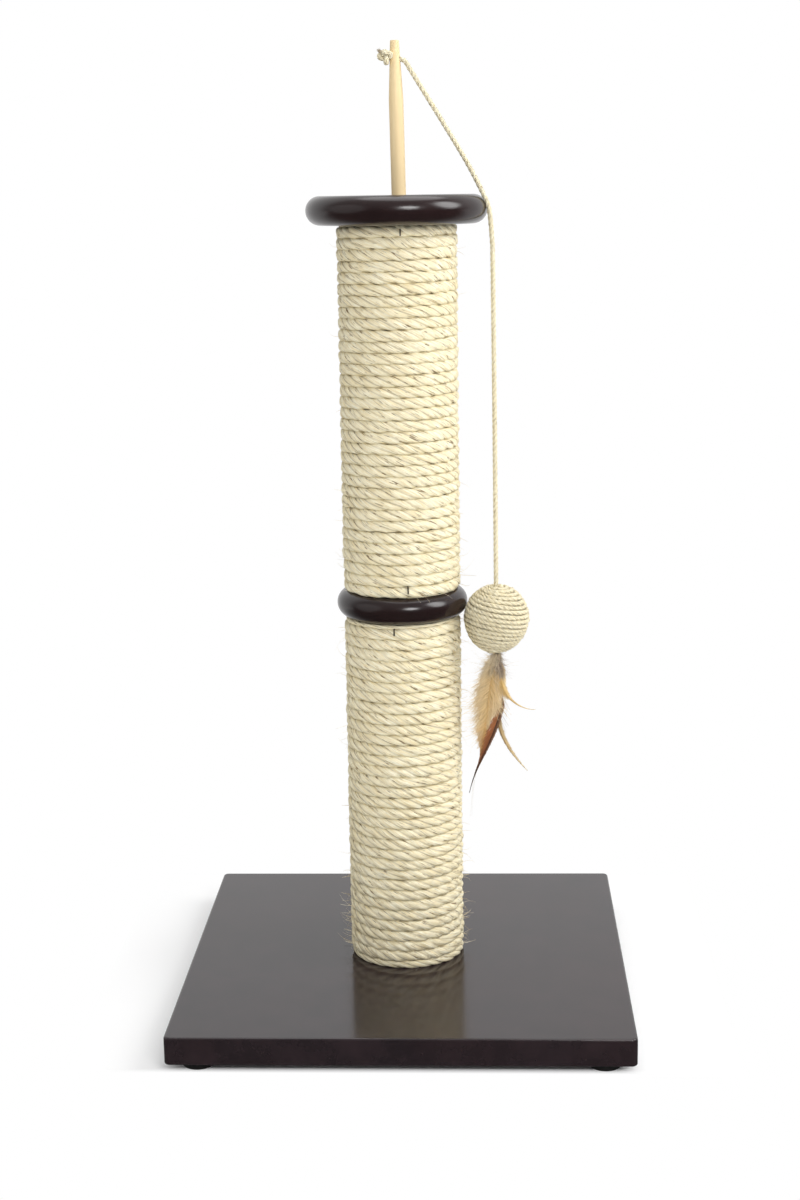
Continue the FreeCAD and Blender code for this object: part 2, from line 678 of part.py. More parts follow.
def toy_cord():
    """The cord in three stretches: taut from stick to rim, round the rim, and hanging."""
    layout = cord_layout()
    diameter = size("cord_diameter")

    hole_way = Vector(1, 0, 0)
    corner = Vector(layout["corner"][0], layout["corner"][1], 0)
    over = Vector(layout["over"][0], layout["over"][1], 0)
    taut_way = (over - corner).normalize()
    radius = size("cord_exit_radius")
    setback = radius * math.tan(hole_way.getAngle(taut_way) / 2)
    bend_start = corner - hole_way * setback
    bend_end = corner + taut_way * setback
    bend = arc_by_corner(bend_start, corner, bend_end)
    knot_face = Vector(layout["knot_face"][0], layout["knot_face"][1], 0)

    rim = Vector(layout["rim"][0], layout["rim"][1], 0)
    under = Vector(layout["under"][0], layout["under"][1], 0)
    ball = Vector(layout["ball"][0], layout["ball"][1], 0)
    hang_way = (ball - under).normalize()
    crown = rim + ((over + under) * 0.5 - rim).normalize() * layout["wrap"]
    tail_end = under + hang_way * size("cord_rim_tail")
    cord_end = ball - hang_way * size("ball_cord_top")

    stretches = (
        ("toy_cord_upper", [Part.LineSegment(knot_face, bend_start), bend,
                            Part.LineSegment(bend_end, over)]),
        ("toy_cord_over_rim", [Part.Arc(over, crown, under), Part.LineSegment(under, tail_end)]),
        ("toy_cord_hanging", [Part.LineSegment(tail_end, cord_end)]),
    )
    upright = FreeCAD.Rotation(Vector(1, 0, 0), 90)
    turn = FreeCAD.Rotation(Vector(0, 0, 1), size("toy_azimuth"))
    print("cord radii: out of the stick %.1f, round the rim %.2f" % (radius, layout["wrap"]))
    for label, curves in stretches:
        if label == "toy_cord_over_rim":
            # the sweep starts on the straight tail, so its profile is square to a line
            curves = [Part.LineSegment(tail_end, under), Part.Arc(under, crown, over)]
        cord = tube_along(label, curves, diameter)
        cord.Placement = FreeCAD.Placement(Vector(0, 0, 0), turn * upright)


def stick_knot():
    """The knot that keeps the cord from slipping back through the stick."""
    width = "(Sizes.knot_diameter / 2)"
    neck = "(Sizes.knot_diameter / 4)"
    knot = turned("toy_cord_knot", (
        ("0", "0"), (neck, "0"), (width, "Sizes.knot_length * 0.35"),
        (width, "Sizes.knot_length * 0.7"), (neck, "Sizes.knot_length"), ("0", "Sizes.knot_length"),
    ))
    round_edges(knot, is_circle_of(size("knot_diameter") / 2), "Sizes.knot_diameter / 8")
    face = cord_layout()["knot_face"]
    turn = FreeCAD.Rotation(Vector(0, 0, 1), size("toy_azimuth"))
    away = FreeCAD.Rotation(Vector(0, 1, 0), -90)
    knot.Placement = FreeCAD.Placement(toy_point(*face), turn * away)


# ---------------------------------------------------------------- ball


def ball_core():
    """Hollow plastic ball with a hole at each pole."""
    twine = size("ball_twine_diameter")
    outer_radius = size("ball_diameter") / 2 - twine - size("ball_core_gap")
    outer = document.addObject("Part::Sphere", "ball_outside")
    outer.setExpression("Radius", "Sizes.ball_diameter / 2 - Sizes.ball_twine_diameter - Sizes.ball_core_gap")
    inner = document.addObject("Part::Sphere", "ball_inside")
    inner.setExpression("Radius", "ball_outside.Radius - Sizes.ball_wall * 1mm")
    shell = document.addObject("Part::Cut", "ball_shell")
    shell.Base = outer
    shell.Tool = inner
    passage = document.addObject("Part::Cylinder", "ball_passage")
    passage.setExpression("Radius", "Sizes.ball_hole_diameter / 2")
    passage.setExpression("Height", "Sizes.ball_diameter")
    passage.Placement.Base = Vector(0, 0, -outer_radius - twine)
    core = document.addObject("Part::Cut", "ball_core")
    core.Base = shell
    core.Tool = passage
    core.Placement = toy_placement()
    keep(core, "ball_core")


def ball_winding():
    """Twine spiralled round the core from pole to pole."""
    twine = size("ball_twine_diameter")
    turns = size("ball_turns")
    radius = (size("ball_diameter") - twine) / 2
    polar = math.asin(size("ball_opening_radius") / radius)
    slope = (math.pi - 2 * polar) / (2 * math.pi * turns)

    draw_in = size("ball_draw_in") / radius
    last = 2 * math.pi * turns

    def place(angle):
        near_start = max(0, 1 - angle / math.pi)
        near_end = max(0, 1 - (last - angle) / math.pi)
        from_pole = polar + slope * angle + draw_in * (near_end ** 2 - near_start ** 2)
        ring = radius * math.sin(from_pole)
        return Vector(ring * math.cos(angle), ring * math.sin(angle), -radius * math.cos(from_pole))

    curves = spiral_path(place, 0, last, 4, twine)
    print("ball winding: %d loops, least gap to itself %.2f" % (turns, least_gap(curves, twine)))
    winding = tube_along("ball_winding", curves, twine)
    winding.Placement = toy_placement()


def ball_cord():
    """The cord through the ball, the knot below it, and the thread round the quills."""
    top = "Sizes.ball_cord_top"
    inner = cylinder("toy_cord_inside_ball", "Sizes.cord_diameter", "2 * " + top)
    keep(inner, "toy_cord_inside_ball").Placement = toy_placement(size("ball_cord_top"))

    full = "(Sizes.end_knot_diameter / 2)"
    neck = "(Sizes.end_knot_diameter / 4)"
    length = "Sizes.end_knot_length"
    knot = turned("end_knot", (
        ("0", "0"), (neck, "0"), (full, length + " * 0.3"), (full, length + " * 0.7"),
        (neck, length), ("0", length),
    ))
    below_knot = size("ball_cord_top") + size("end_knot_length")
    knot.Placement = toy_placement(below_knot)

    binding = bushing("feather_binding", "(Sizes.binding_bore / 2)",
                      "(Sizes.binding_diameter / 2)", "Sizes.binding_length")
    binding.Placement = toy_placement(below_knot + size("binding_length"))


# ---------------------------------------------------------------- feathers

# name, layer towards the back, root and bend and tip as (right, down) from the ball's centre,
# full width, and how far down the vane is widest (0 root, 1 tip)
FEATHERS = (
    ("feather_gold_high", -3, (0.4, 35), (7, 86), (31, 87), 4.5, 0.5),
    ("feather_tan_broad", -2, (-0.6, 35), (-4, 85), (-11, 146), 26, 0.42),
    ("feather_down_grey", -1, (1.2, 35), (7, 48), (13, 66), 15, 0.5),
    ("feather_down_left", 0, (-1.6, 35), (-9, 50), (-12, 78), 13, 0.45),
    ("feather_gold_low", 1, (1.2, 35), (3, 110), (28, 146), 6, 0.5),
    ("feather_rust_striped", 2, (-0.6, 35), (12, 95), (-23, 168), 15, 0.5),
)


def feather(name, layer, root, bend, tip, width, widest):
    """A flat closed vane along a curved quill, in a plane that faces the front."""
    stations = 12
    quill = size("quill_width") / 2
    depth = layer * size("feather_layer") - size("feather_thickness") / 2
    sharpness = math.log(0.5) / math.log(widest)
    bare = (size("binding_length") + 1) / math.dist(root, tip)
    left = []
    right = []
    for i in range(stations + 1):
        t = i / stations
        x, z = (
            (1 - t) ** 2 * a + 2 * t * (1 - t) * b + t ** 2 * c
            for a, b, c in zip(root, bend, tip)
        )
        way_x, way_z = (
            2 * (1 - t) * (b - a) + 2 * t * (c - b) for a, b, c in zip(root, bend, tip)
        )
        steep = math.hypot(way_x, way_z)
        vane = max(0, t - bare) / (1 - bare)
        swell = math.sin(math.pi * vane ** sharpness) ** 1.3
        half = max(quill * (1 - 0.6 * t), width / 2 * swell)
        across = Vector(way_z / steep, 0, way_x / steep) * half
        middle = Vector(x, depth, -z)
        left.append(middle - across)
        right.append(middle + across)
    sides = []
    for points in (left, right):
        curve = Part.BSplineCurve()
        curve.interpolate(points)
        sides.append(curve.toShape())
    root_edge = Part.LineSegment(left[0], right[0]).toShape()
    tip_edge = Part.LineSegment(right[-1], left[-1]).toShape()
    outline = Part.Wire([root_edge, sides[1], tip_edge, sides[0]])
    vane = Part.Face(outline).extrude(Vector(0, size("feather_thickness"), 0))
    piece = document.addObject("Part::Feature", name)
    piece.Shape = vane
    piece.Placement = toy_placement()
    keep(piece, name)


# ---------------------------------------------------------------- assembly

base_board()
feet()
foot_screws()
base_fastening()
for section_name, section_bottom in (("lower", BOARD_TOP), ("upper", RING_TOP)):
    post_section(section_name, section_bottom)
    sisal_rope(section_name, section_bottom)
middle_ring()
top_disc()
toy_stick()
rope_staples()
toy_cord()
stick_knot()
ball_core()
ball_winding()
ball_cord()
for feather_sizes in FEATHERS:
    feather(*feather_sizes)
document.recompute()

for made in document.Objects:
    if "Invalid" in made.State or "Error" in made.State:
        raise RuntimeError("%s failed: %s" % (made.Label, made.State))
for piece in pieces:
    if piece.Shape.isNull() or not piece.Shape.isValid() or not piece.Shape.Solids:
        raise RuntimeError(piece.Label + " has no valid solid")

os.makedirs("parts", exist_ok=True)
for piece in pieces:
    piece.Shape.exportStep("parts/%s.step" % piece.Label)
print("%d sub-parts written" % len(pieces))
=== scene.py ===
"""Cat scratching post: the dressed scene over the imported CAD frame.

Metres, in the frame of the CAD: origin under the middle of the base, +X right, -Y to the camera, +Z up.
"""

import json
import math

import bpy
import numpy as np
from mathutils import Matrix


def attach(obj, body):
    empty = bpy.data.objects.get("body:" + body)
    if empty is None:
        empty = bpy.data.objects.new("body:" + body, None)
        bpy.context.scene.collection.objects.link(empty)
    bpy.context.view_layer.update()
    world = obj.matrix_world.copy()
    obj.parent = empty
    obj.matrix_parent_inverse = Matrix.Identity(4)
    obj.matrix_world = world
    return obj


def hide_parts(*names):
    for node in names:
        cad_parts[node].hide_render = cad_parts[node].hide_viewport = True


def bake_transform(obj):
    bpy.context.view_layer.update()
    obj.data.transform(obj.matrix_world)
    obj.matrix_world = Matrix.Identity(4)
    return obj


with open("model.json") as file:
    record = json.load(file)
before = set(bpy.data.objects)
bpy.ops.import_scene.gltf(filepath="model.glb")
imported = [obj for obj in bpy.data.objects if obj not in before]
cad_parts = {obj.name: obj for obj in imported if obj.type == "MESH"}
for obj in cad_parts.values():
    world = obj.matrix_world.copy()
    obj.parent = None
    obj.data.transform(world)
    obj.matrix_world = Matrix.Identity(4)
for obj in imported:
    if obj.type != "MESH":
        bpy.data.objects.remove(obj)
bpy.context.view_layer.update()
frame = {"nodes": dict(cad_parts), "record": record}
MM = 0.001
UPWARD = np.array([0.0, 0.0, 1.0])

# --- Sizes, in millimetres, repeated from the part's source ---

POST_RADIUS = 52.5
LOWER_SECTION = (35.0, 356.5)
UPPER_SECTION = (381.5, 703.0)
ROPE_TURNS = 32
ROPE_LAY = 53.0
ROPE_FULLNESS = 1.13
FRONT_EASE = 0.55
ROPE_START_AZIMUTH = {"lower": 48.0, "upper": -82.6}
LONG_FIBRE_SHARE = {"lower": 0.13, "upper": 0.035}

TOY_AZIMUTH = -10.0
CORD_DIAMETER = 3.5
CORD_FULLNESS = 1.26
TWINE_LAY = 15.0
KNOT_FACE = (-4.007, 841.989)
CORD_CORNER = (6.524, 841.989)
CORD_OVER = (78.928, 723.066)
CORD_UNDER = (81.049, 715.712)
BALL_CENTRE = (86.292, 356.5)
CORD_BALL_DROP = 27.0
BALL_RADIUS = 29.0

# The real cord is a little stiff: it leaves the stick higher, bows outwards above the rim, and hangs clear
# below it.
CORD_AT_STICK = (8.1, 842.6)
CORD_BOW = ((60.0, 2.6), (26.0, 2.5))
CORD_BELOW_RIM = ((80.75, 719.5), (83.0, 706.0), (84.4, 684.0))
CORD_HALFWAY = (85.6, 540.0)


def outward_point(outward, height):
    """A point of the toy's upright plane, in metres: outward along the toy's azimuth, and up."""
    turn = math.radians(TOY_AZIMUTH)
    return np.array([outward * math.cos(turn), outward * math.sin(turn), height]) * MM


def along_line(start, end, distance, aside=0.0):
    """The point of the toy's plane that lies a distance from start towards end, as (outward, height).

    aside moves it square to the line, outwards for a line that goes up and in.
    """
    run = math.hypot(end[0] - start[0], end[1] - start[1])
    way = ((end[0] - start[0]) / run, (end[1] - start[1]) / run)
    return (start[0] + way[0] * distance + way[1] * aside, start[1] + way[1] * distance - way[0] * aside)


CORD_END = along_line(BALL_CENTRE, CORD_UNDER, CORD_BALL_DROP)
OUTWARD = outward_point(1000, 0)
ACROSS = np.array([-OUTWARD[1], OUTWARD[0], 0.0])
HANG_LEAN = math.atan2(BALL_CENTRE[0] - CORD_UNDER[0], CORD_UNDER[1] - BALL_CENTRE[1])
TOY_UP = np.array([0.0, 0.0, math.cos(HANG_LEAN)]) - OUTWARD * math.sin(HANG_LEAN)
TOY_OUT = np.cross(ACROSS, TOY_UP)
TOY_CENTRE = outward_point(*BALL_CENTRE)


def toy_frame(right, back, up):
    """Points in metres, from millimetres right, back and up from the ball's centre in the toy's frame."""
    right, back, up = (np.asarray(a, float)[..., None] * MM for a in (right, back, up))
    return TOY_CENTRE + right * TOY_OUT + back * ACROSS + up * TOY_UP


# --- Camera ---

CAMERA_PLACE = (72.6, -1685.6, 728.2)
CAMERA_YAW = 2.543
CAMERA_PITCH = 12.012
CAMERA_ROLL = 0.919
FOCAL_PIXELS = 1904.9
PHOTO_HEIGHT = 1200
SENSOR_HEIGHT = 36.0


def facing(right, up, back, place):
    """The matrix of a camera or lamp from its three directions and its place, in metres."""
    matrix = Matrix.Identity(4)
    for column, values in enumerate((right, up, back, place)):
        for row in range(3):
            matrix[row][column] = values[row]
    return matrix


def add_camera():
    """The camera fitted to the view: yaw to the left, pitch down, and a small roll."""
    yaw, pitch, roll = (math.radians(a) for a in (CAMERA_YAW, CAMERA_PITCH, CAMERA_ROLL))
    level = np.array([-math.sin(yaw), math.cos(yaw), 0.0])
    right = np.array([math.cos(yaw), math.sin(yaw), 0.0])
    ahead = level * math.cos(pitch) - np.array([0.0, 0.0, math.sin(pitch)])
    up = np.cross(right, ahead)
    turned_right = right * math.cos(roll) - up * math.sin(roll)
    turned_up = right * math.sin(roll) + up * math.cos(roll)
    data = bpy.data.cameras.new("photo_camera")
    data.sensor_fit = "VERTICAL"
    data.sensor_height = SENSOR_HEIGHT
    data.lens = FOCAL_PIXELS * SENSOR_HEIGHT / PHOTO_HEIGHT
    camera = bpy.data.objects.new("photo_camera", data)
    camera.matrix_world = facing(turned_right, turned_up, -ahead, np.array(CAMERA_PLACE) * MM)
    bpy.context.scene.collection.objects.link(camera)
    bpy.context.scene.camera = camera


# --- Shader tools ---

# A Mix node has several sockets of each name: these are the ones for colours.
MIX_FIRST = 6
MIX_SECOND = 7
MIX_RESULT = 2


def colour_of(value):
    """A link as it is, or a colour of 0-255 screen values as the linear RGBA that a socket takes."""
    if isinstance(value, Link):
        return value
    values = np.array(value) / 255.0
    linear = np.where(values <= 0.04045, values / 12.92, ((values + 0.055) / 1.055) ** 2.4)
    return (*linear.tolist(), 1.0)


class Link:
    """An output socket in shader maths: each operator on it adds one Math node."""

    def __init__(self, tree, socket):
        self.tree = tree
        self.socket = socket

    def maths(self, operation, *operands):
        return add_node(self.tree, "Math", {"operation": operation}, dict(enumerate(operands)))

    def __add__(self, other):
        return self.maths("ADD", self, other)

    def __radd__(self, other):
        return self.maths("ADD", other, self)

    def __sub__(self, other):
        return self.maths("SUBTRACT", self, other)

    def __rsub__(self, other):
        return self.maths("SUBTRACT", other, self)

    def __mul__(self, other):
        return self.maths("MULTIPLY", self, other)

    def __rmul__(self, other):
        return self.maths("MULTIPLY", other, self)

    def at_least(self, other):
        return self.maths("MAXIMUM", self, other)

    def above(self, low, high):
        """0 below low, 1 above high, straight between them."""
        values = {"From Min": low, "From Max": high, "Value": self}
        return add_node(self.tree, "MapRange", values=values)


def plug(tree, entry, value):
    """Link a socket to an input, or set the input's own value."""
    if isinstance(value, Link):
        tree.links.new(value.socket, entry)
    elif value is not None:
        entry.default_value = value


def add_node(tree, kind, settings=None, values=None, out=0):
    """Any node: its type, its settings, its sockets' values or links, and the output that is used."""
    node = tree.nodes.new("ShaderNode" + kind)
    for name, setting in (settings or {}).items():
        if name == "stops":
            set_stops(node.color_ramp, setting)
        else:
            setattr(node, name, setting)
    for entry, value in (values or {}).items():
        plug(tree, node.inputs[entry], value)
    return Link(tree, node.outputs[out])


def set_stops(ramp, stops):
    """Give a colour ramp its (position, colour) stops."""
    while len(ramp.elements) < len(stops):
        ramp.elements.new(0.5)
    for element, (position, colour) in zip(ramp.elements, stops):
        element.position = position
        element.color = colour_of(colour)


class Finish:
    """A material with one Principled shader, and a method for each thing that is put before it."""

    def __init__(self, name, **constants):
        self.material = bpy.data.materials.new(name)
        self.material.use_nodes = True
        self.tree = self.material.node_tree
        self.shader = self.tree.nodes["Principled BSDF"]
        for socket, value in constants.items():
            self.shader.inputs[socket.replace("_", " ")].default_value = value

    def place(self, scale=(1, 1, 1)):
        """Object coordinates in metres, stretched."""
        coordinates = add_node(self.tree, "TexCoord", out="Object")
        return add_node(self.tree, "Mapping", values={"Vector": coordinates, "Scale": scale})

    def laid(self, scale):
        """The piece's own UV map, stretched: along the strand, and around it."""
        coordinates = add_node(self.tree, "UVMap", {"uv_map": "lay"})
        return add_node(self.tree, "Mapping", values={"Vector": coordinates, "Scale": scale})

    def noise(self, vector, scale, detail=3.0, rough=0.5):
        values = {"Vector": vector, "Scale": scale, "Detail": detail, "Roughness": rough}
        return add_node(self.tree, "TexNoise", values=values)

    def own(self, name):
        """A value that the mesh carries at its points."""
        return add_node(self.tree, "Attribute", {"attribute_name": name}, out="Fac")

    def ramp(self, value, stops):
        return add_node(self.tree, "ValToRGB", {"stops": stops}, {"Fac": value})

    def mix(self, share, first, second):
        """A colour between two others, each a link or screen values."""
        values = {0: share, MIX_FIRST: colour_of(first), MIX_SECOND: colour_of(second)}
        return add_node(self.tree, "Mix", {"data_type": "RGBA"}, values, MIX_RESULT)

    def colour(self, value):
        plug(self.tree, self.shader.inputs["Base Color"], colour_of(value))

    def rough(self, value):
        plug(self.tree, self.shader.inputs["Roughness"], value)

    def bump(self, height, distance, strength):
        values = {"Height": height, "Distance": distance, "Strength": strength}
        plug(self.tree, self.shader.inputs["Normal"], add_node(self.tree, "Bump", values=values))


# --- Mesh tools ---

SPLINE_STEPS = 48
END_CROWN = 0.3


def finished_piece(name, points, faces, material, uv=None, marks=None, smooth=True):
    """A mesh object from whole arrays: faces lists (count, corners) arrays, and marks are point values."""
    mesh = bpy.data.meshes.new(name)
    points = np.asarray(points, float).reshape(-1, 3)
    corners = np.concatenate([f.reshape(-1) for f in faces])
    sizes = np.concatenate([np.full(len(f), f.shape[1]) for f in faces])
    starts = np.concatenate([[0], np.cumsum(sizes)[:-1]])
    mesh.vertices.add(len(points))
    mesh.vertices.foreach_set("co", points.reshape(-1))
    mesh.loops.add(len(corners))
    mesh.loops.foreach_set("vertex_index", corners.astype(np.int32))
    mesh.polygons.add(len(sizes))
    mesh.polygons.foreach_set("loop_start", starts.astype(np.int32))
    mesh.polygons.foreach_set("use_smooth", np.full(len(sizes), smooth))
    mesh.update(calc_edges=True)
    if uv is not None:
        layer = mesh.uv_layers.new(name="lay")
        layer.data.foreach_set("uv", np.asarray(uv, float).reshape(-1))
    for mark, values in (marks or {}).items():
        attribute = mesh.attributes.new(mark, "FLOAT", "POINT")
        attribute.data.foreach_set("value", np.asarray(values, float).reshape(-1))
    mesh.validate()
    mesh.materials.append(material)
    piece = bpy.data.objects.new(name, mesh)
    bpy.context.scene.collection.objects.link(piece)
    return piece


def tube_walls(rings, sides):
    """Quads between the rings of a tube."""
    ring, side = np.meshgrid(np.arange(rings - 1), np.arange(sides), indexing="ij")
    following = (side + 1) % sides
    near, far = ring * sides, (ring + 1) * sides
    return np.stack([near + side, near + following, far + following, far + side], -1).reshape(-1, 4)


def tube_ends(rings, sides):
    """A fan of triangles at each end of a tube, on two middle points that follow its rings."""
    around = np.arange(sides)
    ahead = (around + 1) % sides
    first = rings * sides
    last = (rings - 1) * sides
    start = np.stack([np.full(sides, first), ahead, around], -1)
    end = np.stack([np.full(sides, first + 1), last + around, last + ahead], -1)
    return np.concatenate([start, end])


def tube_points(line, side, other, reach, turn):
    """Rings of points round a line, at these reaches and angles from its side direction."""
    return (
        line[:, None, :]
        + (reach * np.cos(turn))[..., None] * side[:, None, :]
        + (reach * np.sin(turn))[..., None] * other[:, None, :]
    )


def strand_section(strands, per_strand, spread):
    """Angles and radii round a laid rope of radius 1: the outline of round strands set beside each other.

    Each strand has its middle at spread and a radius of 1 - spread. At an angle a from that middle the
    outline is at spread * cos(a) + sqrt((1 - spread)^2 - (spread * sin(a))^2).
    """
    sides = strands * per_strand
    angle = np.arange(sides) * 2 * math.pi / sides
    off = (angle + math.pi / strands) % (2 * math.pi / strands) - math.pi / strands
    radius = spread * np.cos(off) + np.sqrt((1 - spread) ** 2 - (spread * np.sin(off)) ** 2)
    return angle, radius


def laid_rope(
    name, path, side, radius, lay, material,
    strands=3, per_strand=4, spread=0.4, start=0.0, thick=1.0, squash=2.0, slip=0.0,
):
    """A twisted rope along a path: the strand outline turns by 2 pi for each lay, plus the slip.

    side is a unit vector square to the path at each of its points, or one for all of them, and thick is
    the share of the radius there. The mesh's columns follow the strands, so each stays on its own strand's
    crown or crease. A squash above 2 presses the rope against its neighbours: the reach is divided by
    (|cos|^p + |sin|^p)^(1/p) of its angle, which fills the corners, and the seam mark, |sin| of that
    angle, is 1 where the neighbours touch.
    """
    step = np.linalg.norm(np.diff(path, axis=0), axis=1)
    distance = np.concatenate([[0.0], np.cumsum(step)])
    tangent = np.gradient(path, axis=0)
    tangent /= np.linalg.norm(tangent, axis=1)[:, None]
    side = np.broadcast_to(side, path.shape)
    side = side - tangent * (side * tangent).sum(1)[:, None]
    side /= np.linalg.norm(side, axis=1)[:, None]
    other = np.cross(tangent, side)
    angle, section = strand_section(strands, per_strand, spread)
    turn = angle[None, :] + (2 * math.pi * (distance + start) / lay + slip)[:, None]
    reach = radius * section[None, :] * np.broadcast_to(thick, len(path))[:, None]
    fullness = (np.abs(np.cos(turn)) ** squash + np.abs(np.sin(turn)) ** squash) ** (1 / squash)
    reach = reach / fullness
    points = tube_points(path, side, other, reach, turn)
    points = np.concatenate([points.reshape(-1, 3), path[:1], path[-1:]])
    rings, sides = len(path), len(angle)
    quads, ends = tube_walls(rings, sides), tube_ends(rings, sides)
    ring = np.repeat(np.arange(rings - 1), sides)
    column = np.tile(np.arange(sides), rings - 1)
    along = np.stack([distance[ring], distance[ring], distance[ring + 1], distance[ring + 1]], -1)
    around = np.stack([column, column + 1, column + 1, column], -1) / sides
    uv = np.concatenate([np.stack([along, around], -1).reshape(-1, 2), np.zeros((ends.size, 2))])
    crown = (section - section.min()) / (section.max() - section.min())
    crown = np.concatenate([np.tile(crown, rings), [END_CROWN, END_CROWN]])
    seam = np.abs(np.sin(turn)) if squash > 2 else np.zeros_like(turn)
    marks = {"crown": crown, "seam": np.concatenate([seam.ravel(), [0.0, 0.0]])}
    return finished_piece(name, points, [quads, ends], material, uv, marks)


def evenly_spaced(path, step):
    """A path measured out again in equal steps."""
    length = np.concatenate([[0.0], np.cumsum(np.linalg.norm(np.diff(path, axis=0), axis=1))])
    count = max(3, int(round(length[-1] / step)) + 1)
    wanted = np.linspace(0, length[-1], count)
    return np.stack([np.interp(wanted, length, path[:, axis]) for axis in range(3)], -1)


def nurbs_line(name, controls):
    """The points of the NURBS spline with these control points, as Blender gives them without a bevel."""
    data = bpy.data.curves.new(name, "CURVE")
    data.dimensions = "3D"
    spline = data.splines.new("NURBS")
    spline.points.add(len(controls) - 1)
    for point, place in zip(spline.points, controls):
        point.co = (*place, 1.0)
    spline.order_u = 3
    spline.use_endpoint_u = True
    spline.resolution_u = SPLINE_STEPS
    guide = bpy.data.objects.new(name, data)
    mesh = bpy.data.meshes.new_from_object(guide)
    line = np.empty(len(mesh.vertices) * 3)
    mesh.vertices.foreach_get("co", line)
    bpy.data.meshes.remove(mesh)
    bpy.data.objects.remove(guide)
    bpy.data.curves.remove(data)
    return line.reshape(-1, 3)


def blades(roots, ways, bends, lengths, widths, flats, segments=3, tip=0.15):
    """Thin tapering strips, all at once: root + way * s * length + bend * (s * length)^2, s from 0 to 1.

    flats is the direction of each strip's width. Returns the points (strip, row, edge) and the quads.
    """
    count = len(roots)
    share = np.linspace(0, 1, segments + 1)[None, :, None]
    run = share * lengths[:, None, None]
    middle = roots[:, None, :] + ways[:, None, :] * run + bends[:, None, :] * run ** 2
    half = (widths[:, None] * (1 - (1 - tip) * share[..., 0]) / 2)[..., None] * flats[:, None, :]
    points = np.stack([middle - half, middle + half], 2)
    rows = segments + 1
    first = (np.arange(count) * rows * 2)[:, None] + (np.arange(segments) * 2)[None, :]
    quads = np.stack([first, first + 1, first + 3, first + 2], -1).reshape(-1, 4)
    return points.reshape(-1, 3), quads


def uneven(chance, spots, count):
    """Random values at these spots of a count of steps, and straight lines between them."""
    return np.interp(np.arange(count), spots, chance.normal(size=len(spots)))


def unit(vectors):
    """The same directions, at length 1."""
    return vectors / np.linalg.norm(vectors, axis=-1, keepdims=True)


# --- Finishes ---


def espresso_lacquer(name, haze, dark, light):
    """Near-black brown satin lacquer: faint closed grain, fine orange peel, and a few handling specks."""
    finish = Finish(name, IOR=1.5)
    grain = finish.noise(finish.place((14, 14, 14)), 3.0, 5.0, 0.6)
    cloud = finish.noise(finish.place(), 7.0, 2.0)
    specks = finish.noise(finish.place(), 260.0, 1.0)
    base = finish.mix(grain.above(0.35, 0.7), dark, light)
    base = finish.mix(cloud.above(0.45, 0.75) * 0.4, base, (44, 27, 28))
    finish.colour(finish.mix(specks.above(0.8, 0.83) * 0.5, base, (96, 78, 66)))
    finish.rough(haze + 0.06 * cloud + 0.03 * grain)
    finish.bump(finish.noise(finish.place(), 420.0, 2.0), 0.00004, 0.3)
    return finish.material


def mottled(name, low, high, scale, detail, haze, spread, relief, strength, **constants):
    """One noise for the colour, the roughness and the relief of a small hidden piece."""
    finish = Finish(name, **constants)
    cloud = finish.noise(finish.place(), scale, detail)
    finish.colour(finish.mix(cloud, low, high))
    finish.rough(haze + spread * cloud)
    finish.bump(cloud, relief, strength)
    return finish.material


def dark_steel():
    """Blued staple wire with rubbed, brighter spots."""
    finish = Finish("dark steel", Metallic=1.0)
    spots = finish.noise(finish.place(), 700.0, 3.0)
    finish.colour(finish.mix(spots.above(0.4, 0.7), (84, 76, 66), (150, 138, 120)))
    finish.rough(0.38 + 0.25 * spots)
    return finish.material


def core_cardboard():
    """Spiral-wound grey-brown board: bands along its winding and short paper fibres."""
    finish = Finish("core cardboard", IOR=1.4)
    fibres = finish.noise(finish.place((1, 1, 3)), 500.0, 4.0)
    patches = finish.noise(finish.place(), 30.0, 3.0)
    base = finish.mix(fibres, (140, 112, 80), (182, 154, 118))
    finish.colour(finish.mix(patches.above(0.4, 0.7) * 0.4, base, (122, 98, 72)))
    finish.rough(0.82 + 0.1 * fibres)
    finish.bump(fibres, 0.0002, 0.5)
    return finish.material


def pale_wood(name, light, dark, pore):
    """Wood with upright grain: noise stretched along it, with finer pores in it."""
    finish = Finish(name, IOR=1.45)
    figure = finish.noise(finish.place((1, 1, 0.03)), 220.0, 4.0, 0.6)
    pores = finish.noise(finish.place((1, 1, 0.02)), 1100.0, 3.0, 0.6)
    base = finish.mix(figure.above(0.3, 0.7), light, dark)
    finish.colour(finish.mix(pores.above(0.5, 0.8) * 0.3, base, pore))
    finish.rough(0.5 + 0.15 * pores)
    finish.bump(pores * 0.5 + figure * 0.5, 0.00006, 0.2)
    return finish.material


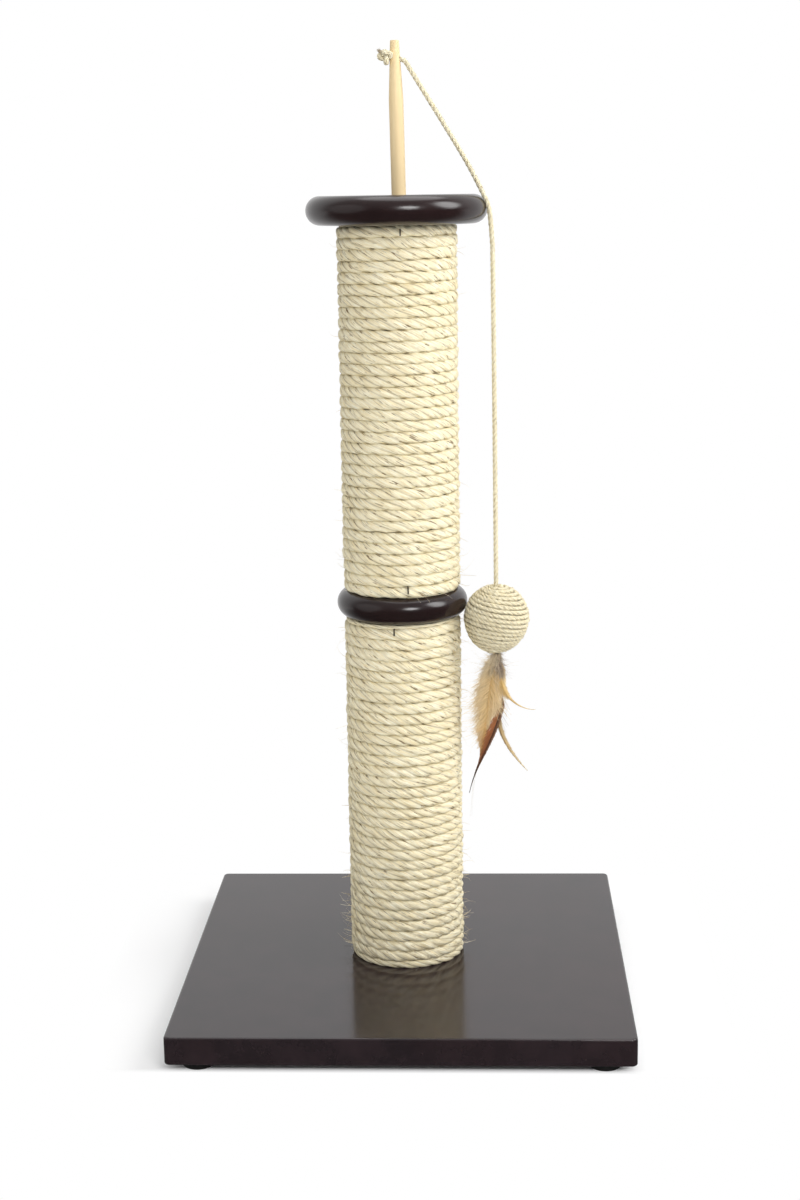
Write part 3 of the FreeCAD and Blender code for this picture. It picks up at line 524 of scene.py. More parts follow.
def sisal(name, light, tan, brown, fibre_scale, crease_shade_share, gap_from, seam_from):
    """Laid sisal: fibre streaks along the strand, short bark dashes, and brown painted shade in the
    crease between strands and the seam between turns.

    The painted seam shade lies where the seam mark is above seam_from and a noise above gap_from.
    """
    finish = Finish(name, IOR=1.4)
    crown = finish.own("crown")
    streaks = finish.noise(finish.laid((fibre_scale * 1.1, 27, 1)), 1.0, 5.0, 0.75)
    broad = finish.noise(finish.laid((fibre_scale * 0.35, 9, 1)), 1.0, 2.0, 0.5)
    lots = finish.noise(finish.place(), 38.0, 3.0)
    dashes = finish.noise(finish.laid((fibre_scale * 1.6, 22, 1)), 1.0, 1.0, 0.5)
    base = finish.mix(streaks.above(0.4, 0.6), tan, light)
    base = finish.mix((lots * 0.5 + broad * 0.5).above(0.45, 0.7) * 0.5, base, tan)
    base = finish.mix(dashes.above(0.62, 0.68) * (1.0 - crown * 0.6), base, brown)
    # Painted shade: brown in the crease between strands, patchy with the noise.
    painted_crease_shade = (1.0 - crown).above(0.6, 1.0) * lots.above(0.25, 0.6)
    base = finish.mix(painted_crease_shade * crease_shade_share, base, brown)
    # Painted shade: brown along the seam where neighbouring turns touch, broken up by a noise.
    gaps = finish.noise(finish.laid((fibre_scale * 1.4, 0, 1)), 1.0, 2.0, 0.6)
    painted_seam_shade = finish.own("seam").above(seam_from, 1.0) * gaps.above(gap_from, gap_from + 0.12)
    finish.colour(finish.mix(painted_seam_shade * 0.8, base, brown))
    finish.rough(0.8 + 0.12 * streaks)
    finish.bump(streaks * 0.75 + broad * 0.25, 0.0014, 1.0)
    return finish.material


def fibre_hairs():
    """Loose sisal fibres, cream and tan in patches."""
    finish = Finish("loose sisal fibres", Roughness=0.7, IOR=1.4)
    lots = finish.noise(finish.place(), 60.0, 2.0)
    finish.colour(finish.mix(lots.above(0.35, 0.65), (248, 240, 214), (216, 194, 148)))
    return finish.material


def binding_thread():
    """Cream waxed thread, with painted shade between its plies."""
    finish = Finish("binding thread", Roughness=0.55, IOR=1.45)
    crown = finish.own("crown")
    lots = finish.noise(finish.place(), 300.0, 2.0)
    base = finish.mix(lots, (206, 192, 160), (236, 226, 200))
    # Painted shade: brown between the plies, where the crown mark is low.
    finish.colour(finish.mix((1.0 - crown) * 0.6, base, (150, 130, 98)))
    return finish.material


def plume(name, stops, edge, edge_share, stripe, stripe_share):
    """A feather: colour along it, its barbs' tips, darker single barbs, and a stripe on one side."""
    finish = Finish(name, Roughness=0.55, IOR=1.45)
    base = finish.ramp(finish.own("along"), stops)
    base = finish.mix(finish.own("hand") * stripe_share, base, stripe)
    base = finish.mix(finish.own("out").above(0.2, 1.0) * edge_share, base, edge)
    finish.colour(finish.mix(finish.own("shade") * 0.28, base, (84, 58, 36)))
    return finish.material


# --- Post ---

ROPE_STEP = 2.5
ROPE_FIBRES = 3000
RING_FIBRES = 16
ROPE_SPOTS = 1500
ROPE_SWELL = 0.05
ROPE_WOBBLE = 0.24
ROPE_SLIP = 0.42
ROPE_INSET = 0.56
THINNEST_WEDGE = 0.08


def post_helix(section, start_azimuth, radius):
    """The middle line of a section's rope, the rope's thickness along it, and the way out from the post.

    A right-handed helix whose rows lie flatter at the front than at the back: height grows by one row each
    turn, less FRONT_EASE of the front's slope. Its first and last turns are wedges that fill the gap
    between the nearest row and the disc: as thick as that gap, and in its middle.
    """
    low, high = section
    row = (high - low - 2 * radius) / ROPE_TURNS
    length = (ROPE_TURNS + 2) * 2 * math.pi * (POST_RADIUS - radius)
    turns = np.linspace(-1, ROPE_TURNS + 1, int(length / ROPE_STEP))
    azimuth = math.radians(start_azimuth) + turns * 2 * math.pi
    phase = math.radians(start_azimuth + 90)

    def helix(turn):
        """The height of the rope's middle after this many turns."""
        swing = np.sin(2 * math.pi * turn + phase) - math.sin(phase)
        return low + radius + row * (turn - FRONT_EASE * swing / (2 * math.pi))

    height = helix(turns)
    gap_below = np.clip(helix(turns + 1) - radius - low, 0, 2 * radius)
    gap_above = np.clip(high - helix(turns - 1) - radius, 0, 2 * radius)
    height = np.where(turns < 0, low + gap_below / 2, height)
    height = np.where(turns > ROPE_TURNS, high - gap_above / 2, height)
    gap = np.where(turns < 0, gap_below, np.where(turns > ROPE_TURNS, gap_above, 2 * radius))
    thick = np.maximum(gap / (2 * radius), THINNEST_WEDGE)
    ring = (POST_RADIUS - radius * (ROPE_INSET + 0.5 * thick)) * MM
    path = np.stack([ring * np.cos(azimuth), ring * np.sin(azimuth), height * MM], -1)
    side = np.stack([np.cos(azimuth), np.sin(azimuth), np.zeros(len(turns))], -1)
    return path, side, thick


def wound_rope(which, section, material, hair_material, seed):
    """One section's sisal rope, and the loose fibres that stand off it."""
    chance = np.random.default_rng(seed)
    radius = (section[1] - section[0]) / (ROPE_TURNS + 1) / 2
    path, side, thick = post_helix(section, ROPE_START_AZIMUTH[which], radius)
    spots = np.linspace(0, len(path), ROPE_SPOTS)
    swell = 1.0 + ROPE_SWELL * uneven(chance, spots, len(path))
    path[:, 2] += ROPE_WOBBLE * MM * thick * uneven(chance, spots[::4], len(path))
    slip = ROPE_SLIP * uneven(chance, spots[::4], len(path))
    rope = laid_rope(
        f"{which}_rope_winding", path, side, radius * ROPE_FULLNESS * MM, ROPE_LAY * MM, material,
        strands=4, spread=0.42, thick=swell * thick, squash=3.4, slip=slip,
    )
    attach(rope, "stand")
    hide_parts(f"{which}_sisal_rope")
    full = slice(*np.flatnonzero(thick > 0.9)[[0, -1]])
    long_share = LONG_FIBRE_SHARE[which]
    name = f"{which}_rope_fibres"
    hairs = rope_hairs(name, path[full], side[full], radius, hair_material, chance, long_share)
    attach(hairs, "stand")


def rope_hairs(name, path, side, radius, material, chance, long_share):
    """Loose fibres: each leaves the rope's outer side along the strand and curls away and down.

    long_share of them are long and stand off near the section's ends, where the rope is cut: mostly the
    lower end.
    """
    count = ROPE_FIBRES
    long = chance.random(count) < long_share
    spot = chance.random(count)
    near = 0.3 * chance.random(count) ** 2
    near = np.where(chance.random(count) < 0.8, near, 1.0 - near)
    spot = np.where(long & (chance.random(count) < 0.85), near, spot)
    pick = (4 + spot * (len(path) - 9)).astype(int)
    tangent = unit(path[pick + 2] - path[pick - 2])
    out = side[pick]
    lift = chance.uniform(-1.0, 1.0, count)[:, None]
    roots = path[pick] + radius * 0.93 * MM * unit(out + UPWARD * lift * 0.6)
    sign = np.where(chance.random(count) < 0.5, -1.0, 1.0)[:, None]
    away = np.where(long, 0.75, 0.0)[:, None] + chance.uniform(0.05, 0.5, (count, 1))
    ways = unit(tangent * sign + out * away + UPWARD * lift * 0.35)
    lengths = np.where(long, chance.uniform(9, 24, count), chance.uniform(2.5, 7, count)) * MM
    inward = -out * np.where(long, 18.0, 45.0)[:, None] * chance.uniform(0.3, 1.3, (count, 1))
    bends = inward + UPWARD * chance.normal(scale=22, size=(count, 1))
    widths = chance.uniform(0.14, 0.26, count) * np.where(long, 1.9, 1.0) * MM
    flats = unit(np.cross(ways, out) + 0.2 * UPWARD)
    points, quads = blades(roots, ways, bends, lengths, widths, flats, 4, 0.3)
    clear_of_board = points[:, 2].reshape(count, -1).min(1) > path[0, 2] - 4.2 * MM
    keep = np.repeat(clear_of_board, 4)
    return finished_piece(name, points, [quads[keep]], material)


def ring_fibres(material):
    """A few loose ends of the upper rope over the middle ring: out from the post, then curling down."""
    chance = np.random.default_rng(8)
    count = RING_FIBRES
    azimuth = chance.uniform(0, 2 * math.pi, count)
    out = np.stack([np.cos(azimuth), np.sin(azimuth), 0 * azimuth], -1)
    roots = (out * 51.5 + UPWARD * (UPPER_SECTION[0] + 1.2)) * MM
    ways = unit(out + np.cross(UPWARD, out) * chance.uniform(-1.3, 1.3, (count, 1)) + UPWARD * 0.12)
    bends = -UPWARD * chance.uniform(35, 60, (count, 1))
    lengths = chance.uniform(8, 13, count) * MM
    flats = unit(np.cross(ways, out + UPWARD))
    points, quads = blades(roots, ways, bends, lengths, np.full(count, 0.3 * MM), flats, 6)
    fibres = finished_piece("fibres_over_ring", points, [quads], material)
    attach(fibres, "stand")


# --- Cord and knot ---

TWINE_STEP = 0.0006
KNOT_STEP = 0.0005
KNOT_POINTS = 220
BEND_LENGTH = 35.0
KNOT_SIZE = 5.2
KNOT_DEPTH = 2.3
KNOT_TWINE = 2.35
TAIL_FIBRES = 60


def cord_stretch(name, controls, node, start_of_lay, material):
    """One stretch of the twisted twine along its spline, and the line it follows."""
    line = nurbs_line(name + "_line", controls)
    path = evenly_spaced(line, TWINE_STEP)
    radius = CORD_DIAMETER / 2 * CORD_FULLNESS * MM
    cord = laid_rope(name, path, ACROSS, radius, TWINE_LAY * MM, material, start=start_of_lay)
    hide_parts(node)
    length = float(np.linalg.norm(np.diff(line, axis=0), axis=1).sum())
    return cord, line, length


def toy_cord(material):
    """The toy's cord: from the knot behind the stick, taut to the rim, round it, and down to the ball."""
    from_stick = [KNOT_FACE, CORD_AT_STICK, along_line(CORD_AT_STICK, CORD_OVER, 10.5)]
    bow = [along_line(CORD_OVER, CORD_CORNER, distance, aside) for distance, aside in CORD_BOW]
    upper_points = from_stick + bow + [CORD_OVER]
    rim_points = [CORD_OVER, *CORD_BELOW_RIM]
    hanging_points = [CORD_BELOW_RIM[-1], CORD_HALFWAY, CORD_END]
    bend_start = outward_point(*along_line(CORD_OVER, CORD_CORNER, BEND_LENGTH))
    over, under = outward_point(*CORD_OVER), outward_point(*CORD_UNDER)

    upper, upper_line, upper_length = cord_stretch(
        "toy_cord_taut", [outward_point(*p) for p in upper_points], "toy_cord_upper", 0.0, material
    )
    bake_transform(upper)
    rim, rim_line, rim_length = cord_stretch(
        "toy_cord_round_rim", [outward_point(*p) for p in rim_points], "toy_cord_over_rim",
        upper_length, material,
    )
    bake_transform(rim)
    hanging, hanging_line, hanging_length = cord_stretch(
        "toy_cord_drop", [outward_point(*p) for p in hanging_points], "toy_cord_hanging",
        upper_length + rim_length, material,
    )
    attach(hanging, "cord_hanging")
    knot = stick_knot(material)


def trefoil(centre, along, across, up, size, depth):
    """A closed overhand knot.

    It runs through (sin t + 2 sin 2t, cos t - 2 cos 2t) * size / 3 across and up, and -sin 3t * depth
    along.
    """
    turn = np.linspace(0, 2 * math.pi, KNOT_POINTS)
    first = (np.sin(turn) + 2 * np.sin(2 * turn)) * size / 3
    second = (np.cos(turn) - 2 * np.cos(2 * turn)) * size / 3
    third = -np.sin(3 * turn) * depth
    return centre + first[:, None] * across + second[:, None] * up + third[:, None] * along


def stick_knot(material):
    """The cord's knot behind the stick: an overhand knot of the twine, and its frayed tail."""
    centre = outward_point(KNOT_FACE[0] - 2.6, KNOT_FACE[1] + 1.6) - ACROSS * 4.6 * MM
    along = unit(0.5 * OUTWARD + 0.86 * ACROSS + 0.25 * UPWARD)
    across = unit(np.cross(UPWARD, along))
    up = np.cross(along, across)
    path = evenly_spaced(trefoil(centre, along, across, up, KNOT_SIZE * MM, KNOT_DEPTH * MM), KNOT_STEP)
    knot = laid_rope("stick_knot_turns", path, along, KNOT_TWINE * MM, TWINE_LAY * MM, material)
    chance = np.random.default_rng(11)
    count = TAIL_FIBRES
    root = centre + (-4.2 * OUTWARD + 3.6 * UPWARD) * MM
    roots = root + chance.normal(scale=0.6, size=(count, 3)) * MM
    ways = unit(-0.75 * OUTWARD + 0.7 * UPWARD + chance.normal(scale=0.2, size=(count, 3)))
    bends = chance.normal(scale=16, size=(count, 3))
    lengths = chance.uniform(2.2, 3.8, count) * MM
    flats = unit(np.cross(ways, ACROSS) + chance.normal(scale=0.2, size=(count, 3)))
    points, quads = blades(roots, ways, bends, lengths, np.full(count, 0.34 * MM), flats)
    frayed = Finish("frayed twine end", Roughness=0.7, IOR=1.4)
    frayed.colour(frayed.mix(frayed.noise(frayed.place(), 900.0), (112, 98, 84), (206, 190, 160)))
    tail = finished_piece("stick_knot_tail", points, [quads], frayed.material)
    tail.parent = knot
    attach(knot, "stand")
    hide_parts("toy_cord_knot")
    return knot


# --- Ball ---

WINDING_TILT = -11.0
TWINE_RADIUS = 2.05
TWINE_FULLNESS = 1.09
BALL_ROW = 4.05
BALL_OPENING = 4.6
BALL_SAG = 3.4
BALL_WANDER = 0.011
BALL_WANDER_SPOTS = 150
BALL_SWELL = 0.08
BALL_SWELL_SPOTS = 700
BALL_FIBRES = 260
END_KNOT_DOWN = 31.6
END_KNOT_SIZE = 2.7
END_KNOT_TWINE = 1.1
BINDING_DOWN = 34.2
BINDING_LENGTH = 3.6
BINDING_RADIUS = 3.0
THREAD_TURNS = 6
THREAD_RADIUS = 0.36
THREAD_LAY = 2.0


def ball_spiral(radius, start_turn):
    """A spiral on a sphere: the polar angle grows by a row each turn, from one opening to the other."""
    low = BALL_OPENING / radius
    travel = math.pi - 2 * low
    turns = travel * radius / BALL_ROW
    count = int(turns * 2 * math.pi * radius / 0.8)
    polar = low + travel * np.linspace(0, 1, count)
    turn = start_turn + turns * 2 * math.pi * np.linspace(0, 1, count)
    return polar, turn


def wound_ball(material, hair_material):
    """The ball's winding: one twisted twine in a tilted spiral, its lower half pulled down a little."""
    radius = BALL_RADIUS + 0.4 - TWINE_RADIUS
    chance = np.random.default_rng(5)
    polar, turn = ball_spiral(radius, 0.6)
    wander = uneven(chance, np.linspace(0, len(polar), BALL_WANDER_SPOTS), len(polar))
    polar = polar + BALL_WANDER * wander * np.sin(polar)
    tilt = math.radians(WINDING_TILT) * np.sin(polar)[:, None]
    axis = toy_way(-1, 0, 0) * np.sin(tilt) + toy_way(0, 0, 1) * np.cos(tilt)
    right = toy_way(1, 0, 0) * np.cos(tilt) + toy_way(0, 0, 1) * np.sin(tilt)
    out = (
        np.cos(polar)[:, None] * axis
        + (np.sin(polar) * np.cos(turn))[:, None] * right
        + (np.sin(polar) * np.sin(turn))[:, None] * ACROSS
    )
    centre = toy_frame(0, 0, 0)
    reach = radius + BALL_SAG * np.clip(-np.cos(polar), 0, 1) ** 2 + 0.3 * np.roll(wander, 300)
    path = evenly_spaced(centre + out * reach[:, None] * MM, 0.0009)
    side = unit(path - centre)
    swell = 1.0 + BALL_SWELL * uneven(chance, np.linspace(0, len(path), BALL_SWELL_SPOTS), len(path))
    winding = laid_rope(
        "ball_twine_winding", path, side, TWINE_RADIUS * TWINE_FULLNESS * MM, TWINE_LAY * MM, material,
        spread=0.42, thick=swell, squash=2.6,
    )
    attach(winding, "toy")
    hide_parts("ball_winding")

    count = BALL_FIBRES
    pick = chance.integers(5, len(path) - 5, count)
    tangent = unit(path[pick + 2] - path[pick - 2])
    roots = path[pick] + side[pick] * TWINE_RADIUS * 0.9 * MM
    stray = chance.normal(scale=0.2, size=(count, 3))
    ways = unit(tangent + side[pick] * chance.uniform(0.1, 0.6, (count, 1)) + stray)
    bends = -side[pick] * chance.uniform(20, 80, (count, 1))
    lengths = chance.uniform(1.5, 4.5, count) * MM
    flats = unit(np.cross(ways, side[pick]))
    widths = chance.uniform(0.1, 0.2, count) * MM
    points, quads = blades(roots, ways, bends, lengths, widths, flats)
    fibres = finished_piece("ball_twine_fibres", points, [quads], hair_material)
    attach(fibres, "toy")


def lashing(twine, thread):
    """Under the ball: the twine's end knot, and the thread wound round the quills."""
    middle = toy_frame(0, 0, -END_KNOT_DOWN)
    path = evenly_spaced(trefoil(middle, TOY_UP, TOY_OUT, ACROSS, END_KNOT_SIZE * MM, MM), KNOT_STEP)
    knot = laid_rope(
        "end_knot_turns", path, TOY_UP, END_KNOT_TWINE * MM, TWINE_LAY * 0.7 * MM, twine,
        strands=2, per_strand=5, spread=0.34,
    )
    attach(knot, "toy")
    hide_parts("end_knot")
    turn = np.linspace(0, THREAD_TURNS * 2 * math.pi, 300)
    reach = BINDING_RADIUS + 0.25 * np.sin(turn / 2)
    height = -BINDING_DOWN - BINDING_LENGTH * turn / turn[-1]
    path = toy_frame(reach * np.cos(turn), reach * np.sin(turn), height)
    side = unit(path - toy_frame(0 * turn, 0 * turn, height))
    binding = laid_rope(
        "feather_thread_turns", path, side, THREAD_RADIUS * MM, THREAD_LAY * MM, thread,
        strands=2, spread=0.34,
    )
    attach(binding, "toy")
    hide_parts("feather_binding")


def toy_way(right, back, up):
    """A direction of the toy's frame, in the row frame."""
    return right * TOY_OUT + back * ACROSS + up * TOY_UP


# --- Feathers ---

FEATHER_MARKS = ("along", "out", "shade", "hand")
SHAFT_SIDES = 6
SHAFT_RADIUS = 0.4
COMB_BARBS = 15
DOWN_CURLS = 90

# The long barbs, each by its root, way and bend as (right, back, up), and its length.
LONG_BARBS = (
    ((-17.0, -5.0, -84.0), (-0.75, 0, -1), (6, 0, -6), 21.0),
    ((-21.0, -5.0, -144.0), (-0.2, 0, -1), (2, 0, 0), 44.0),
    ((-23.5, -6.0, -150.0), (-0.1, 0, -1), (0, 0, 0), 38.0),
    ((-8.0, -6.0, -36.0), (-1, 0, -0.6), (10, 0, -20), 16.0),
)


def quill_line(stops, back, count):
    """A smooth line through (right, down) stops in the toy's frame, in millimetres, each at its own depth.

    Right and down are polynomials of the share of the chord length, fitted to the stops.
    """
    stops = np.asarray(stops, float)
    reach = np.concatenate([[0.0], np.cumsum(np.hypot(*np.diff(stops, axis=0).T))])
    reach /= reach[-1]
    share = np.linspace(0, 1, count)
    degree = min(4, len(stops) - 1)
    right = np.polyval(np.polyfit(reach, stops[:, 0], degree), share)
    down = np.polyval(np.polyfit(reach, stops[:, 1], degree), share)
    depth = np.interp(share, np.linspace(0, 1, len(back)), back)
    return toy_frame(right, depth, -down), share


def feather(
    name, node, stops, back, widths, material, seed,
    count, hair, fluff, lean=(40, 22), curl=0.0, cup=0.3,
):
    """A feather: a tapering shaft, and on each side a row of barbs that lean towards its tip.

    widths is (share along, left, right) and hair a barb's width, in millimetres; count is the barbs of one
    side; lean is their angle from the shaft at its root and tip, in degrees; fluff scatters their
    directions and lengths, curl bends them back, and cup turns them away from the feather's rounded face.
    """
    chance = np.random.default_rng(seed)
    line, share = quill_line(stops, back, 120)
    tangent = unit(np.gradient(line, axis=0))
    flat = unit(np.cross(ACROSS, tangent))
    table = np.asarray(widths, float)
    parts = []
    for hand, column in ((1.0, 1), (-1.0, 2)):
        place = np.sort(chance.uniform(table[0, 0], table[-1, 0], count))
        width = np.interp(place, table[:, 0], table[:, column])
        place, width = place[width > 0.05], width[width > 0.05]
        number = len(place)
        index = place * (len(line) - 1)
        roots = lines_at(line, index)
        forward = unit(lines_at(tangent, index))
        sideways = unit(lines_at(flat, index)) * hand
        angle = np.radians(np.interp(place, [0, 1], lean)) * (1 + fluff * chance.normal(size=number))
        ways = forward * np.cos(angle)[:, None] + sideways * np.sin(angle)[:, None]
        ways = unit(ways + ACROSS * (cup + 1.5 * fluff * chance.normal(size=number))[:, None])
        reach = width * chance.uniform(0.85 - fluff, 1.02 + 0.4 * fluff, number)
        lengths = reach / np.sin(angle.clip(0.3)) * MM
        bends = forward * (8.0 - curl) + ACROSS * chance.normal(scale=4 + 60 * fluff, size=(number, 1))
        bends = bends + sideways * chance.normal(scale=3 + 50 * fluff, size=(number, 1))
        thick = hair * MM * chance.uniform(0.7, 1.3, number)
        flats = unit(np.cross(ACROSS, ways) + ACROSS * 0.25 * hand)
        points, quads = blades(roots, ways, bends, lengths, thick, flats, 4, 0.25)
        out = np.tile(np.repeat(np.linspace(0, 1, 5), 2), number)
        shade = np.repeat(chance.random(number) ** 2, 10)
        side = np.full(len(points), 1.0 if hand < 0 else 0.0)
        parts.append((points, quads, np.repeat(place, 10), out, shade, side))
    shaft_points, shaft_quads, shaft_share = shaft_of(line, share, tangent, SHAFT_RADIUS * MM)
    blank = np.zeros(len(shaft_share))
    parts.append((shaft_points, shaft_quads, shaft_share, blank, blank + 0.1, blank + 0.4))
    starts = np.cumsum([0] + [len(part[0]) for part in parts])
    points = np.concatenate([part[0] for part in parts])
    quads = np.concatenate([part[1] + start for part, start in zip(parts, starts)])
    marks = {mark: np.concatenate([part[n] for part in parts]) for n, mark in enumerate(FEATHER_MARKS, 2)}
    piece = finished_piece(name, points, [quads], material, marks=marks)
    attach(piece, "toy")
    if node is not None:
        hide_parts(node)


def lines_at(values, index):
    """Rows of an array at whole and part indices."""
    low = np.clip(np.floor(index).astype(int), 0, len(values) - 2)
    part = (index - low)[:, None]
    return values[low] * (1 - part) + values[low + 1] * part


def shaft_of(line, share, tangent, radius):
    """A thin tube along a quill, down to a tenth of its radius at the tip."""
    side = unit(np.cross(tangent, ACROSS))
    other = np.cross(tangent, side)
    turn = np.arange(SHAFT_SIDES) * math.pi / 3
    reach = radius * (1.0 - 0.9 * share)
    points = tube_points(line, side, other, reach[:, None], turn)
    return points.reshape(-1, 3), tube_walls(len(line), SHAFT_SIDES), np.repeat(share, SHAFT_SIDES)


def feather_bunch():
    """The feathers and the down. Their lines go through (right, down) stops from the ball's middle."""
    gold = (234, 196, 124)
    tan_plume = plume(
        "tan plume",
        [(0.0, (222, 204, 172)), (0.2, (238, 212, 162)), (0.6, (230, 200, 144)), (0.85, (222, 168, 88))],
        (240, 226, 198), 0.5, gold, 0.55,
    )
    rust_plume = plume(
        "rust plume",
        [(0.0, (178, 116, 66)), (0.5, (174, 104, 60)), (0.68, (130, 72, 40)), (0.82, (40, 28, 22))],
        (196, 140, 96), 0.4, (48, 28, 18), 0.92,
    )
    gold_plume = plume(
        "gold plume",
        [(0.0, gold), (0.45, (230, 192, 120)), (0.75, (206, 170, 110)), (1.0, (214, 204, 180))],
        (244, 228, 186), 0.5, (240, 210, 146), 0.5,
    )
    banded_plume = plume(
        "banded gold plume",
        [(0.0, gold), (0.5, (146, 112, 66)), (0.75, (176, 144, 94)), (1.0, (232, 222, 198))],
        (232, 212, 170), 0.5, (240, 214, 156), 0.5,
    )
    pale_down = plume(
        "pale down",
        [(0.0, (232, 220, 198)), (0.5, (232, 216, 184)), (1.0, (234, 214, 172))],
        (232, 220, 194), 0.5, (176, 156, 126), 0.2,
    )
    dark_down = plume(
        "dark down",
        [(0.0, (220, 206, 182)), (0.45, (160, 140, 126)), (1.0, (206, 188, 162))],
        (190, 176, 156), 0.4, (116, 98, 90), 0.35,
    )
    tan_stops = [(-1, 33), (-5.5, 56), (-9, 80), (-11.5, 103), (-16.5, 131)]
    tan_back = (-2.0, -6.0, -5.0, -3.0)
    feather(
        "tan_feather", "feather_tan_broad", tan_stops, tan_back,
        [
            (0.02, 8, 8), (0.17, 12, 11), (0.3, 12, 13), (0.42, 10.5, 9), (0.55, 9.5, 4.6),
            (0.68, 7.5, 2.8), (0.82, 4, 1.5), (1, 0.6, 0.5),
        ],
        tan_plume, 21, count=1500, hair=0.6, fluff=0.09,
    )
    feather(
        "tan_feather_fluff", None, tan_stops, tan_back,
        [(0.05, 11, 8), (0.3, 15, 9), (0.5, 13.5, 3), (0.7, 10, 1)],
        tan_plume, 27, lean=(52, 30), count=420, hair=0.24, fluff=0.28, curl=20, cup=-0.3,
    )
    feather(
        "rust_feather", "feather_rust_striped",
        [(0, 35), (3, 78), (0.5, 93), (-5, 106), (-12, 123), (-19.5, 141), (-27, 163)],
        (3.0, 2.0, -7.5, -8.5, -8.0),
        [
            (0.3, 4, 3), (0.42, 5.5, 2.8), (0.52, 5.2, 2.6), (0.62, 3.3, 2.0),
            (0.75, 1.4, 1.1), (0.88, 0.6, 0.5), (1, 0.3, 0.3),
        ],
        rust_plume, 22, lean=(30, 12), count=900, hair=0.5, fluff=0.05,
    )
    feather(
        "gold_feather_high", "feather_gold_high",
        [(1, 34), (4, 53), (7, 66), (15, 76.5), (25, 82.5), (34, 83.5)], (-3.5, -7.0, -6.0),
        [(0.1, 5, 4), (0.35, 6, 3.0), (0.48, 3, 2.2), (0.6, 1.2, 1.1), (0.8, 0.6, 0.6), (1, 0.3, 0.25)],
        gold_plume, 23, lean=(30, 10), count=460, hair=0.45, fluff=0.08,
    )
    feather(
        "gold_feather_low", "feather_gold_low",
        [(0, 35), (0, 68), (-1, 92), (3, 111), (9.6, 124), (17, 134), (25, 143)], (2.5, 0.5, 0.0, 1.0),
        [
            (0.35, 2, 3), (0.55, 1.8, 2.8), (0.7, 1.7, 2.5),
            (0.82, 1.2, 1.7), (0.93, 0.7, 0.9), (1, 0.3, 0.3),
        ],
        banded_plume, 24, lean=(24, 10), count=420, hair=0.42, fluff=0.06,
    )
    feather(
        "down_right", "feather_down_grey",
        [(1, 32.5), (2.6, 43), (4.4, 54)], (-1.5, -5.5, -6.0),
        [(0.0, 3.5, 6), (0.4, 4.5, 6), (0.8, 3, 4), (1.0, 1.5, 2)],
        dark_down, 25, lean=(46, 30), count=330, hair=0.28, fluff=0.4, curl=25, cup=-0.2,
    )
    feather(
        "down_left", "feather_down_left",
        [(-1.6, 32.5), (-4.4, 41), (-6.4, 50)], (-2.5, -7.0, -8.0),
        [(0.0, 6, 5), (0.4, 8.5, 6), (1.0, 5, 4)],
        pale_down, 26, lean=(50, 34), count=380, hair=0.28, fluff=0.45, curl=45, cup=-0.3,
    )
    stray_barbs(pale_down, dark_down)


def stray_barbs(pale, dark):
    """Loose single barbs: a comb right of the rust feather, curls under the ball, and a few long ones."""
    chance = np.random.default_rng(40)
    count = COMB_BARBS
    step = np.linspace(0, 1, count)
    comb_roots = toy_frame(4.6 - 5.0 * step, 0.5 + 0 * step, -(74 + 24 * step))
    comb_ways = unit(toy_way(0.5, 0, -1.0) + chance.normal(scale=0.05, size=(count, 3)))
    comb_bends = np.tile(toy_way(3.0, 0, 1.0), (count, 1))
    comb = (comb_roots, comb_ways, comb_bends, (10 + 5 * chance.random(count)) * MM)
    curls = DOWN_CURLS
    right, back, down = (chance.uniform(*ends, curls) for ends in ((-3, 3), (-4, 1), (31, 36)))
    curl_roots = toy_frame(right, back, -down)
    aim = chance.uniform(-0.75, 0.6, curls)[:, None]
    curl_ways = unit(aim * TOY_OUT - ACROSS * chance.uniform(0.35, 0.85, (curls, 1)) - TOY_UP * 0.9)
    curl_bends = -aim * 40 * TOY_OUT + chance.normal(scale=14, size=(curls, 3))
    curled = (curl_roots, curl_ways, curl_bends, chance.uniform(12, 24, curls) * MM)
    places, ways_down, bows, reaches = zip(*LONG_BARBS)
    long_ways = unit(np.stack([toy_way(*way) for way in ways_down]))
    long_bends = np.stack([toy_way(*bow) for bow in bows])
    long = (toy_frame(*np.transpose(places)), long_ways, long_bends, np.array(reaches) * MM)
    sets = (
        ("comb_barbs", comb, 0.26, dark),
        ("pale_curls", [part[::2] for part in curled], 0.5, pale),
        ("dark_curls", [part[1::2] for part in curled], 0.42, dark),
        ("long_barbs", long, 0.18, pale),
    )
    for name, (roots, ways, bends, lengths), width, material in sets:
        flats = unit(np.cross(ACROSS, ways) + 0.2 * ACROSS)
        widths = np.full(len(roots), width * MM)
        points, quads = blades(roots, ways, bends, lengths, widths, flats, 6, 0.3)
        marks = {"along": np.full(len(points), 0.3), "out": np.zeros(len(points))}
        marks["shade"] = np.repeat(chance.random(len(roots)), 14)
        marks["hand"] = np.repeat(chance.random(len(roots)), 14)
        piece = finished_piece(name, points, [quads], material, marks=marks)
        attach(piece, "toy")


# --- Carried-over CAD nodes ---


